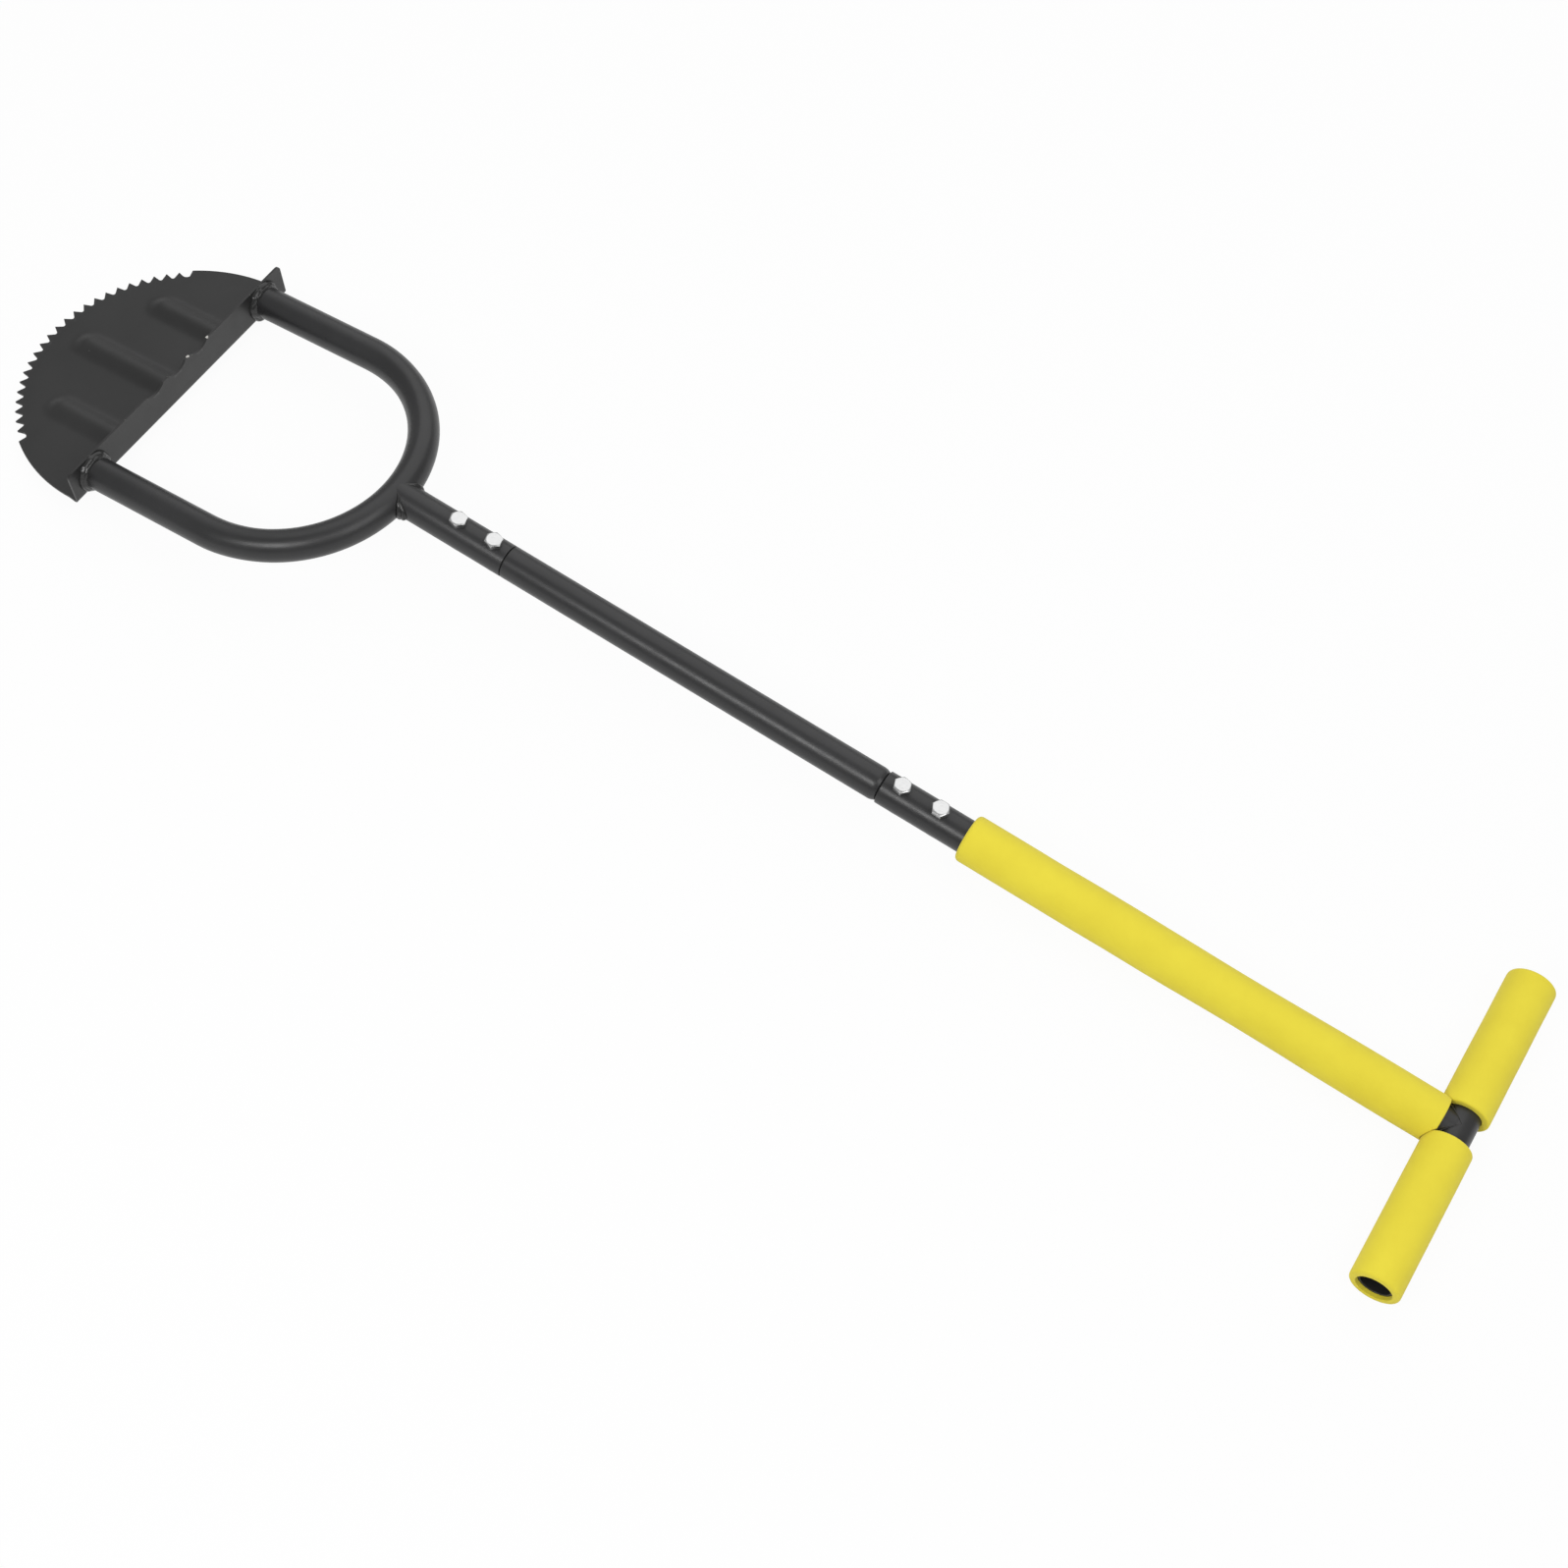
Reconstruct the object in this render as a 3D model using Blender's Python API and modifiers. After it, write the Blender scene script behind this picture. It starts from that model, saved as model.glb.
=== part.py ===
"""Half-moon lawn edger: a saw-tooth turf blade on a welded bow, with a bolted three-piece handle.

The tool lies on the ground as it does when it is put down: the middle tooth of the blade and the
undersides of the two cross grips touch the ground, and the neck stands clear of it.

World frame: +X across the tool, +Y from the blade to the grips, +Z up, ground at Z = 0.
Head frame: origin on the outer face of the step plate, halfway between the arms of the bow, with
+Y towards the grips and the bow lying in the plane Z = 0.
Handle frame: origin where the handle's axis meets the bow's centreline, local +Z along the handle
towards the grips, local +X across the tool, local -Y up.
"""
import math

import bmesh
import bpy
from mathutils import Matrix, Vector

MM = 0.001

# Steel tube and the clearances between pieces
TUBE_RADIUS = 10.5 * MM
TUBE_WALL = 1.5 * MM
GAP = 0.3 * MM

# Blade and step plate, one folded sheet
SHEET = 1.5 * MM
BLADE_HALF_WIDTH = 103.0 * MM
BLADE_UNDERSIDE = -11.5 * MM
ARC_CENTRE_Y = -8.3 * MM
TOOTH_COUNT = 23
TOOTH_STEP = math.radians(4.7)
TOOTH_TIP_RADIUS = 101.2 * MM
TOOTH_ROOT_RADIUS = 96.4 * MM
NOTCH_ANGLE = math.radians(54.8)
NOTCH_RADIUS = 96.7 * MM
PLAIN_EDGE_ANGLE = math.radians(56.7)
PLAIN_EDGE_RADIUS = 102.3 * MM
FOLD_RADIUS = 3.0 * MM
STEP_TOP = 13.5 * MM
STEP_CORNER_RADIUS = 3.0 * MM
SCALLOP_COUNT = 3
SCALLOP_PITCH = 21.5 * MM
SCALLOP_WIDTH = 17.0 * MM
SCALLOP_DEPTH = 3.5 * MM

# Ribs pressed up out of the blade
RIB_PITCH = 50.0 * MM
RIB_HALF_WIDTH = 11.0 * MM
RIB_HEIGHT = 3.2 * MM
RIB_NEAR_END = -6.0 * MM
MIDDLE_RIB_END = -92.0 * MM
SIDE_RIB_END = -71.0 * MM

# Bow
BOW_RADIUS = 83.0 * MM
ARM_LENGTH = 88.0 * MM

# Handle, with distances measured from the bow's centreline along the handle
CRANK = math.radians(7.5)
SOCKET_END = 84.0 * MM
UPPER_SEAM = 350.0 * MM
SPIGOT_LENGTH = 50.0 * MM
SPIGOT_RADIUS = TUBE_RADIUS - TUBE_WALL - GAP
HANDLE_LENGTH = 727.0 * MM
BOLT_PLACES = {"lower_joint": (46.5 * MM, 72.5 * MM), "upper_joint": (362.0 * MM, 388.0 * MM)}

# Cross bar and foam grips
GRIP_RADIUS = 15.0 * MM
GRIP_END_ROUND = 3.5 * MM
LONG_GRIP_START = 408.0 * MM
CROSS_GRIP_OUTER = 108.0 * MM
CROSS_GRIP_INNER = 10.6 * MM
CROSS_BAR_HALF = 107.0 * MM

# M6 bolts and thin nuts
BOLT_RADIUS = 3.0 * MM
BOLT_HOLE_RADIUS = 3.3 * MM
HEX_ACROSS_FLATS = 10.0 * MM
BOLT_HEAD_HEIGHT = 4.0 * MM
NUT_HEIGHT = 3.2 * MM
BOLT_LENGTH = 25.0 * MM

# Weld beads
ARM_WELD_LEG = 3.6 * MM
BEAD_RADIUS = 1.9 * MM
BEAD_OFFSET = 0.6 * MM
BAR_BEAD_RADIUS = 1.5 * MM
SADDLE_EASE = 0.8 * MM

ROUND_SEGMENTS = 40
BORE_SEGMENTS = 24
EXTRA = 5.0 * MM


def clear_scene():
    for item in list(bpy.data.objects):
        bpy.data.objects.remove(item, do_unlink=True)
    for group in list(bpy.data.collections):
        bpy.data.collections.remove(group)


def make_collection(name):
    group = bpy.data.collections.new(name)
    bpy.context.scene.collection.children.link(group)
    return group


def make_material(name, rgb, roughness, metallic):
    material = bpy.data.materials.new(name)
    material.use_nodes = True
    shader = material.node_tree.nodes["Principled BSDF"]
    shader.inputs["Base Color"].default_value = (*rgb, 1.0)
    shader.inputs["Roughness"].default_value = roughness
    shader.inputs["Metallic"].default_value = metallic
    material.diffuse_color = (*rgb, 1.0)
    return material


def black_paint(name):
    return make_material(name + "_powder_coat", (0.042, 0.042, 0.043), 0.38, 0.0)


def yellow_foam(name):
    return make_material(name + "_foam", (0.79, 0.69, 0.055), 0.75, 0.0)


def zinc(name):
    return make_material(name + "_zinc", (0.72, 0.73, 0.74), 0.3, 1.0)


def add_part(name, mesh, parent, material):
    part = bpy.data.objects.new(name, mesh)
    PARTS.objects.link(part)
    part.parent = parent
    mesh.materials.append(material)
    return part


def add_cutter(name, mesh, parent):
    cutter = bpy.data.objects.new(name, mesh)
    CUTTERS.objects.link(cutter)
    cutter.parent = parent
    cutter.hide_render = True
    cutter.display_type = "WIRE"
    return cutter


def cut(part, cutter, operation="DIFFERENCE"):
    modifier = part.modifiers.new(cutter.name, "BOOLEAN")
    modifier.operation = operation
    modifier.solver = "EXACT"
    modifier.object = cutter


def add_empty(name, parent, location, tilt):
    empty = bpy.data.objects.new(name, None)
    PARTS.objects.link(empty)
    empty.parent = parent
    empty.location = location
    empty.rotation_euler = (tilt, 0.0, 0.0)
    return empty


def profile_mesh(name, points):
    """A closed profile in the XZ plane, for a turned piece."""
    mesh = bpy.data.meshes.new(name)
    count = len(points)
    edges = [(i, (i + 1) % count) for i in range(count)]
    mesh.from_pydata([(r, 0.0, z) for r, z in points], edges, [])
    return mesh


def turn(part, segments=ROUND_SEGMENTS):
    modifier = part.modifiers.new("turned", "SCREW")
    modifier.angle = math.tau
    modifier.steps = segments
    modifier.render_steps = segments
    modifier.use_merge_vertices = True
    modifier.merge_threshold = 0.00001
    modifier.use_smooth_shade = True


def cylinder_mesh(name, radius, start, end, axis="Z", segments=ROUND_SEGMENTS):
    """A plain cylinder along one of its own axes, from start to end."""
    shape = bmesh.new()
    bmesh.ops.create_cone(shape, cap_ends=True, segments=segments, radius1=radius, radius2=radius,
                          depth=end - start)
    bmesh.ops.translate(shape, verts=shape.verts, vec=(0.0, 0.0, (start + end) / 2))
    turns = {"X": Matrix.Rotation(math.pi / 2, 3, "Y"), "Y": Matrix.Rotation(-math.pi / 2, 3, "X"),
             "Z": Matrix.Identity(3)}
    bmesh.ops.rotate(shape, verts=shape.verts, matrix=turns[axis])
    mesh = bpy.data.meshes.new(name)
    shape.to_mesh(mesh)
    shape.free()
    mesh.shade_smooth()
    mesh.set_sharp_from_angle(angle=math.radians(40))
    return mesh


def tube_mesh(name, points, radius, segments, cyclic=False):
    """A solid tube that follows the points, as a mesh."""
    curve = bpy.data.curves.new(name, "CURVE")
    curve.dimensions = "3D"
    curve.bevel_depth = radius
    curve.bevel_resolution = (segments - 4) // 2
    curve.use_fill_caps = not cyclic
    spline = curve.splines.new("POLY")
    spline.points.add(len(points) - 1)
    for node, place in zip(spline.points, points):
        node.co = (*place, 1.0)
    spline.use_cyclic_u = cyclic
    return curve_to_mesh(name, curve)


def outline_mesh(name, points, half_depth):
    """A flat outline in the XY plane, thickened by half_depth each way, as a mesh."""
    curve = bpy.data.curves.new(name, "CURVE")
    curve.dimensions = "2D"
    curve.fill_mode = "BOTH"
    curve.extrude = half_depth
    spline = curve.splines.new("POLY")
    spline.points.add(len(points) - 1)
    for node, place in zip(spline.points, points):
        node.co = (place[0], place[1], 0.0, 1.0)
    spline.use_cyclic_u = True
    return curve_to_mesh(name, curve)


def curve_to_mesh(name, curve):
    holder = bpy.data.objects.new(name, curve)
    bpy.context.scene.collection.objects.link(holder)
    view = bpy.context.evaluated_depsgraph_get()
    mesh = bpy.data.meshes.new_from_object(holder.evaluated_get(view))
    mesh.name = name
    shape = bmesh.new()
    shape.from_mesh(mesh)
    bmesh.ops.remove_doubles(shape, verts=shape.verts, dist=0.000005)
    bmesh.ops.recalc_face_normals(shape, faces=shape.faces)
    shape.to_mesh(mesh)
    shape.free()
    bpy.data.objects.remove(holder, do_unlink=True)
    bpy.data.curves.remove(curve)
    mesh.shade_smooth()
    mesh.set_sharp_from_angle(angle=math.radians(40))
    return mesh


def arc(centre, radius, start, end, steps):
    """Points on an arc in a plane, ends included; angles run anticlockwise from the first axis."""
    angles = [start + (end - start) * i / steps for i in range(steps + 1)]
    return [(centre[0] + radius * math.cos(a), centre[1] + radius * math.sin(a)) for a in angles]


def rest_attitude():
    """The head's tilt and the place of its origin when the tool lies on the ground."""
    bar_y = ARM_LENGTH + BOW_RADIUS + HANDLE_LENGTH * math.cos(CRANK)
    bar_z = -HANDLE_LENGTH * math.sin(CRANK)
    tip_y = ARC_CENTRE_Y - TOOTH_TIP_RADIUS
    reach = math.hypot(bar_y - tip_y, bar_z - BLADE_UNDERSIDE)
    line = math.atan2(bar_z - BLADE_UNDERSIDE, bar_y - tip_y)
    tilt = math.asin(GRIP_RADIUS / reach) - line
    turn_x = Matrix.Rotation(tilt, 3, "X")
    lowest = (turn_x @ Vector((0.0, tip_y, BLADE_UNDERSIDE))).z
    front = (turn_x @ Vector((0.0, tip_y, BLADE_UNDERSIDE + SHEET))).y
    back = (turn_x @ Vector((0.0, bar_y, bar_z))).y + GRIP_RADIUS
    return tilt, Vector((0.0, -(front + back) / 2, -lowest))


def toothed_outline():
    """The blade's edge seen from above, with its saw teeth, and straight sides at the fold."""
    def at(angle, radius):
        return (radius * math.sin(angle), ARC_CENTRE_Y - radius * math.cos(angle))

    half = []
    for i in range(TOOTH_COUNT // 2 + 1):
        tip = i * TOOTH_STEP
        half.append(at(tip, TOOTH_TIP_RADIUS))
        if i < TOOTH_COUNT // 2:
            half.append(at(tip + 0.37 * TOOTH_STEP, TOOTH_ROOT_RADIUS + 0.45 * MM))
            half.append(at(tip + 0.50 * TOOTH_STEP, TOOTH_ROOT_RADIUS))
            half.append(at(tip + 0.63 * TOOTH_STEP, TOOTH_ROOT_RADIUS + 0.45 * MM))
    last_tip = (TOOTH_COUNT // 2) * TOOTH_STEP
    half.append(at(last_tip + 0.30 * TOOTH_STEP, NOTCH_RADIUS + 1.3 * MM))
    half.append(at(NOTCH_ANGLE - 0.20 * TOOTH_STEP, NOTCH_RADIUS + 0.3 * MM))
    half.append(at(NOTCH_ANGLE, NOTCH_RADIUS))
    half.append(at(NOTCH_ANGLE + 0.20 * TOOTH_STEP, NOTCH_RADIUS + 0.5 * MM))
    plain_steps = 10
    for i in range(plain_steps + 1):
        angle = PLAIN_EDGE_ANGLE + (math.pi / 2 - PLAIN_EDGE_ANGLE) * i / plain_steps
        half.append(at(angle, PLAIN_EDGE_RADIUS))
    half.append((BLADE_HALF_WIDTH, -FOLD_RADIUS))
    half.append((BLADE_HALF_WIDTH, EXTRA))
    mirrored = [(-x, y) for x, y in half[1:]]
    return half + mirrored[::-1]


def step_plate_outline():
    """The step plate seen along the tool, with rounded corners and three shallow scallops."""
    low = BLADE_UNDERSIDE - 2 * EXTRA
    corner = (BLADE_HALF_WIDTH - STEP_CORNER_RADIUS, STEP_TOP - STEP_CORNER_RADIUS)
    points = [(BLADE_HALF_WIDTH, low)]
    points += arc(corner, STEP_CORNER_RADIUS, 0.0, math.pi / 2, 5)
    radius = (SCALLOP_WIDTH ** 2 / 4 + SCALLOP_DEPTH ** 2) / (2 * SCALLOP_DEPTH)
    sweep = math.asin(SCALLOP_WIDTH / 2 / radius)
    for i in range(SCALLOP_COUNT):
        middle = ((SCALLOP_COUNT - 1) / 2 - i) * SCALLOP_PITCH
        centre = (middle, STEP_TOP - SCALLOP_DEPTH + radius)
        points += arc(centre, radius, -math.pi / 2 + sweep, -math.pi / 2 - sweep, 8)
    points += arc((-corner[0], corner[1]), STEP_CORNER_RADIUS, math.pi / 2, math.pi, 5)
    points.append((-BLADE_HALF_WIDTH, low))
    return points


def rib_lift(x, y):
    """How far the ribs raise the sheet at a place on the blade."""
    lift = 0.0
    for place in (-1, 0, 1):
        far_end = MIDDLE_RIB_END if place == 0 else SIDE_RIB_END
        low = far_end + RIB_HALF_WIDTH
        high = RIB_NEAR_END - RIB_HALF_WIDTH
        nearest = min(max(y, low), high)
        distance = math.hypot(x - place * RIB_PITCH, y - nearest)
        if distance < RIB_HALF_WIDTH:
            share = math.cos(math.pi / 2 * distance / RIB_HALF_WIDTH) ** 2
            lift = max(lift, RIB_HEIGHT * share ** 0.75)
    return lift


def blade_sheet_mesh():
    """The middle surface of the pressed and folded sheet, larger than its outline."""
    steps = [i / 5 for i in range(-5, 6)]
    columns = [-BLADE_HALF_WIDTH - EXTRA, BLADE_HALF_WIDTH + EXTRA]
    columns += [place * RIB_PITCH + RIB_HALF_WIDTH * s for place in (-1, 0, 1) for s in steps]
    columns.sort()
    rows = [ARC_CENTRE_Y - BLADE_HALF_WIDTH - EXTRA, -FOLD_RADIUS]
    for end, side in ((MIDDLE_RIB_END, 1), (SIDE_RIB_END, 1), (RIB_NEAR_END, -1)):
        rows += [end + side * RIB_HALF_WIDTH * s / 4 for s in range(5)]
    rows = sorted(set(round(r, 6) for r in rows))
    rest = BLADE_UNDERSIDE + SHEET / 2
    section = [(y, rest) for y in rows]
    middle_radius = FOLD_RADIUS - SHEET / 2
    bend = arc((-FOLD_RADIUS, BLADE_UNDERSIDE + FOLD_RADIUS), middle_radius, -math.pi / 2, 0.0, 5)
    section += bend[1:]
    section.append((-SHEET / 2, STEP_TOP + EXTRA))

    shape = bmesh.new()
    bmesh.ops.create_grid(shape, x_segments=len(columns) - 1, y_segments=len(section) - 1, size=1.0)
    shape.verts.ensure_lookup_table()
    across = len(columns)
    for index, vert in enumerate(shape.verts):
        x = columns[index % across]
        y, z = section[index // across]
        vert.co = (x, y, z + rib_lift(x, y) if index // across < len(rows) else z)
    mesh = bpy.data.meshes.new("half_moon_blade")
    bmesh.ops.recalc_face_normals(shape, faces=shape.faces)
    shape.to_mesh(mesh)
    shape.free()
    mesh.shade_smooth()
    mesh.set_sharp_from_angle(angle=math.radians(40))
    return mesh


def build_blade(head):
    blade = add_part("half_moon_blade", blade_sheet_mesh(), head, black_paint("half_moon_blade"))
    thickness = blade.modifiers.new("sheet", "SOLIDIFY")
    thickness.thickness = SHEET
    thickness.offset = 0.0
    thickness.use_even_offset = True
    teeth = add_cutter("blade_outline", outline_mesh("blade_outline", toothed_outline(), 40 * MM), head)
    cut(blade, teeth, "INTERSECT")
    plate_mesh = outline_mesh("step_plate_outline", step_plate_outline(), 200 * MM)
    plate = add_cutter("step_plate_outline", plate_mesh, head)
    plate.rotation_euler = (math.pi / 2, 0.0, 0.0)
    cut(blade, plate, "INTERSECT")


def bow_path(overrun):
    """The bow's centreline; the arms' ends run past their place by overrun."""
    start_y = GAP - overrun
    bend = arc((0.0, ARM_LENGTH), BOW_RADIUS, 0.0, math.pi, 28)
    return [(BOW_RADIUS, start_y, 0.0)] + [(x, y, 0.0) for x, y in bend] + [(-BOW_RADIUS, start_y, 0.0)]


def build_bow(head):
    bow = add_part("bow", tube_mesh("bow", bow_path(0.0), TUBE_RADIUS, 32), head, black_paint("bow"))
    bore = tube_mesh("bow_bore", bow_path(EXTRA), TUBE_RADIUS - TUBE_WALL, 16)
    cut(bow, add_cutter("bow_bore", bore, head))
    leg = ARM_WELD_LEG
    root = TUBE_RADIUS + GAP
    bead = [(root, GAP + leg), (root + 0.45 * leg, GAP + 0.85 * leg), (root + 0.85 * leg, GAP + 0.45 * leg),
            (root + leg, GAP), (root, GAP)]
    for side, name in ((-1, "left_arm_weld"), (1, "right_arm_weld")):
        weld = add_part(name, profile_mesh(name, bead), head, black_paint(name))
        weld.location = (side * BOW_RADIUS, 0.0, 0.0)
        weld.rotation_euler = (-math.pi / 2, 0.0, 0.0)
        turn(weld)
        height = STEP_TOP - BLADE_UNDERSIDE - FOLD_RADIUS
        trim = bmesh.new()
        bmesh.ops.create_cube(trim, size=1.0)
        bmesh.ops.scale(trim, verts=trim.verts, vec=(60 * MM, 60 * MM, height))
        trim_mesh = bpy.data.meshes.new(name + "_trim")
        trim.to_mesh(trim_mesh)
        trim.free()
        box = add_cutter(name + "_trim", trim_mesh, head)
        box.location = (side * BOW_RADIUS, 0.0, STEP_TOP - 0.2 * MM - height / 2)
        cut(weld, box, "INTERSECT")


def neck_saddle(handle_radius):
    """Centreline of the bead where the handle meets the bow, in the handle frame."""
    points = []
    steps = 36
    for i in range(steps):
        angle = math.tau * i / steps
        x = handle_radius * math.cos(angle)
        up = handle_radius * math.sin(angle)
        low, high = -1.0 * MM, 20.0 * MM
        for _ in range(30):
            along = (low + high) / 2
            y = BOW_RADIUS + along * math.cos(CRANK) + up * math.sin(CRANK)
            z = -along * math.sin(CRANK) + up * math.cos(CRANK)
            distance = math.hypot(math.hypot(x, y) - BOW_RADIUS, z)
            if distance < handle_radius + SADDLE_EASE:
                low = along
            else:
                high = along
        points.append((x, -up, along))
    return points


def bar_saddle(handle_radius):
    """Centreline of the bead where the handle meets the cross bar, in the handle frame."""
    steps = 36
    points = []
    for i in range(steps):
        angle = math.tau * i / steps
        up = handle_radius * math.sin(angle)
        back = math.sqrt((handle_radius + SADDLE_EASE) ** 2 - up ** 2)
        points.append((handle_radius * math.cos(angle), -up, HANDLE_LENGTH - back))
    return points


def tube_profile(start, end, outer=TUBE_RADIUS, inner=TUBE_RADIUS - TUBE_WALL):
    chamfer = 0.3 * MM
    return [(outer - chamfer, end), (outer, end - chamfer), (outer, start + chamfer),
            (outer - chamfer, start), (inner, start), (inner, end)]


def middle_shaft_profile():
    """Full-size tube between two reduced spigots; square lower shoulder, rounded upper one."""
    low = SOCKET_END + GAP
    top = UPPER_SEAM - GAP
    inner = TUBE_RADIUS - TUBE_WALL
    spigot_bore = SPIGOT_RADIUS - TUBE_WALL
    shoulder = TUBE_RADIUS - SPIGOT_RADIUS
    rounded = arc((TUBE_RADIUS - shoulder, top - 3 * MM), shoulder, math.pi / 2, 0.0, 5)
    outer = [(SPIGOT_RADIUS, top + SPIGOT_LENGTH), (SPIGOT_RADIUS, top)]
    outer += rounded
    outer += [(TUBE_RADIUS, low + 0.4 * MM), (TUBE_RADIUS - 0.4 * MM, low), (SPIGOT_RADIUS, low),
              (SPIGOT_RADIUS, low - SPIGOT_LENGTH)]
    bore = [(spigot_bore, low - SPIGOT_LENGTH), (spigot_bore, low + 2 * MM), (inner, low + 4 * MM),
            (inner, top - 6 * MM), (spigot_bore, top - 4 * MM), (spigot_bore, top + SPIGOT_LENGTH)]
    return outer + bore


def grip_profile(start, end, start_round, end_round):
    """A foam sleeve over the tube, with its outer corners rounded."""
    bore = TUBE_RADIUS + GAP
    points = arc((GRIP_RADIUS - end_round, end - end_round), end_round, math.pi / 2, 0.0, 5)
    points += arc((GRIP_RADIUS - start_round, start + start_round), start_round, 0.0, -math.pi / 2, 5)
    points += [(bore, start), (bore, end)]
    return points


def bolt_holes(handle):
    holes = []
    for joint, places in BOLT_PLACES.items():
        for number, place in enumerate(places, start=1):
            name = f"{joint}_hole_{number}"
            mesh = cylinder_mesh(name, BOLT_HOLE_RADIUS, -20 * MM, 20 * MM, "Y", BORE_SEGMENTS)
            hole = add_cutter(name, mesh, handle)
            hole.location = (0.0, 0.0, place)
            holes.append(hole)
    return holes


def build_handle(handle, head):
    holes = bolt_holes(handle)
    bow_mesh = tube_mesh("bow_clearance", bow_path(0.0), TUBE_RADIUS + GAP, 40)
    bow_cutter = add_cutter("bow_clearance", bow_mesh, head)

    neck = add_part("neck_socket", profile_mesh("neck_socket", tube_profile(0.0, SOCKET_END)), handle,
                    black_paint("neck_socket"))
    turn(neck)
    cut(neck, bow_cutter)
    for hole in holes[:2]:
        cut(neck, hole)

    offset_radius = TUBE_RADIUS + BEAD_OFFSET
    bead = tube_mesh("neck_weld", neck_saddle(offset_radius), BEAD_RADIUS, 12, cyclic=True)
    neck_weld = add_part("neck_weld", bead, handle, black_paint("neck_weld"))
    neck_body = cylinder_mesh("neck_clearance", TUBE_RADIUS + GAP, -EXTRA, SOCKET_END)
    cut(neck_weld, bow_cutter)
    cut(neck_weld, add_cutter("neck_clearance", neck_body, handle))

    middle = add_part("middle_shaft", profile_mesh("middle_shaft", middle_shaft_profile()), handle,
                      black_paint("middle_shaft"))
    turn(middle)
    for hole in holes:
        cut(middle, hole)

    upper_profile = profile_mesh("grip_shaft", tube_profile(UPPER_SEAM, HANDLE_LENGTH))
    upper = add_part("grip_shaft", upper_profile, handle, black_paint("grip_shaft"))
    turn(upper)
    bar_mesh = cylinder_mesh("bar_clearance", TUBE_RADIUS + GAP, -CROSS_BAR_HALF, CROSS_BAR_HALF, "X")
    bar_clearance = add_cutter("bar_clearance", bar_mesh, handle)
    bar_clearance.location = (0.0, 0.0, HANDLE_LENGTH)
    cut(upper, bar_clearance)
    for hole in holes[2:]:
        cut(upper, hole)
    return bar_clearance


def build_cross_bar(handle, bar_clearance):
    profile = tube_profile(-CROSS_BAR_HALF, CROSS_BAR_HALF)
    bar = add_part("cross_bar", profile_mesh("cross_bar", profile), handle, black_paint("cross_bar"))
    bar.location = (0.0, 0.0, HANDLE_LENGTH)
    bar.rotation_euler = (0.0, math.pi / 2, 0.0)
    turn(bar)

    saddle = bar_saddle(TUBE_RADIUS + BEAD_OFFSET)
    bead = tube_mesh("cross_bar_weld", saddle, BAR_BEAD_RADIUS, 10, cyclic=True)
    weld = add_part("cross_bar_weld", bead, handle, black_paint("cross_bar_weld"))
    shaft_mesh = cylinder_mesh("grip_shaft_clearance", TUBE_RADIUS + GAP, UPPER_SEAM, HANDLE_LENGTH)
    cut(weld, bar_clearance)
    cut(weld, add_cutter("grip_shaft_clearance", shaft_mesh, handle))
    room = tube_mesh("bead_clearance", saddle, BAR_BEAD_RADIUS + GAP, 10, cyclic=True)
    return add_cutter("bead_clearance", room, handle)


def build_grips(handle, bead_clearance):
    long_end = HANDLE_LENGTH - TUBE_RADIUS - GAP
    profile = grip_profile(LONG_GRIP_START, long_end, GRIP_END_ROUND, 1.2 * MM)
    long_grip = add_part("long_grip_sleeve", profile_mesh("long_grip_sleeve", profile), handle,
                         yellow_foam("long_grip_sleeve"))
    turn(long_grip)
    cut(long_grip, bead_clearance)
    for side, name in ((-1, "left_grip_sleeve"), (1, "right_grip_sleeve")):
        profile = grip_profile(CROSS_GRIP_INNER + GAP, CROSS_GRIP_OUTER, 2.0 * MM, GRIP_END_ROUND)
        grip = add_part(name, profile_mesh(name, profile), handle, yellow_foam(name))
        grip.location = (0.0, 0.0, HANDLE_LENGTH)
        grip.rotation_euler = (0.0, side * math.pi / 2, 0.0)
        turn(grip)
        cut(grip, bead_clearance)
        mesh = cylinder_mesh(name + "_clearance", GRIP_RADIUS + GAP, CROSS_GRIP_INNER, CROSS_GRIP_OUTER)
        room = add_cutter(name + "_clearance", mesh, handle)
        room.location = grip.location
        room.rotation_euler = grip.rotation_euler
        cut(long_grip, room)


def hex_mesh(name, bottom, top):
    """A hexagonal prism with its corners towards local +Y and -Y."""
    shape = bmesh.new()
    radius = HEX_ACROSS_FLATS / 2 / math.cos(math.pi / 6)
    flats_across = Matrix.Rotation(math.pi / 6, 4, "Z")
    bmesh.ops.create_cone(shape, cap_ends=True, segments=6, radius1=radius, radius2=radius,
                          depth=top - bottom, matrix=flats_across)
    bmesh.ops.translate(shape, verts=shape.verts, vec=(0.0, 0.0, (bottom + top) / 2))
    mesh = bpy.data.meshes.new(name)
    shape.to_mesh(mesh)
    shape.free()
    return mesh


def chamfer_cutter(name, handle, bottom, top, cut_top, cut_bottom):
    """A turned body that rounds off the corners of a hexagonal head or nut."""
    wide = HEX_ACROSS_FLATS / 2 / math.cos(math.pi / 6) + 0.2 * MM
    narrow = HEX_ACROSS_FLATS / 2 - 0.1 * MM
    drop = 0.9 * MM
    top_ring = [(wide, top + EXTRA)]
    if cut_top:
        top_ring = [(narrow, top + EXTRA / 50), (wide, top - drop)]
    low_ring = [(wide, bottom - EXTRA)]
    if cut_bottom:
        low_ring = [(wide, bottom + drop), (narrow, bottom - EXTRA / 50)]
    rings = top_ring + low_ring
    points = [(0.0, rings[0][1])] + rings + [(0.0, rings[-1][1])]
    mesh = bpy.data.meshes.new(name)
    mesh.from_pydata([(r, 0.0, z) for r, z in points], [(i, i + 1) for i in range(len(points) - 1)], [])
    body = add_cutter(name, mesh, handle)
    turn(body)
    return body


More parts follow.
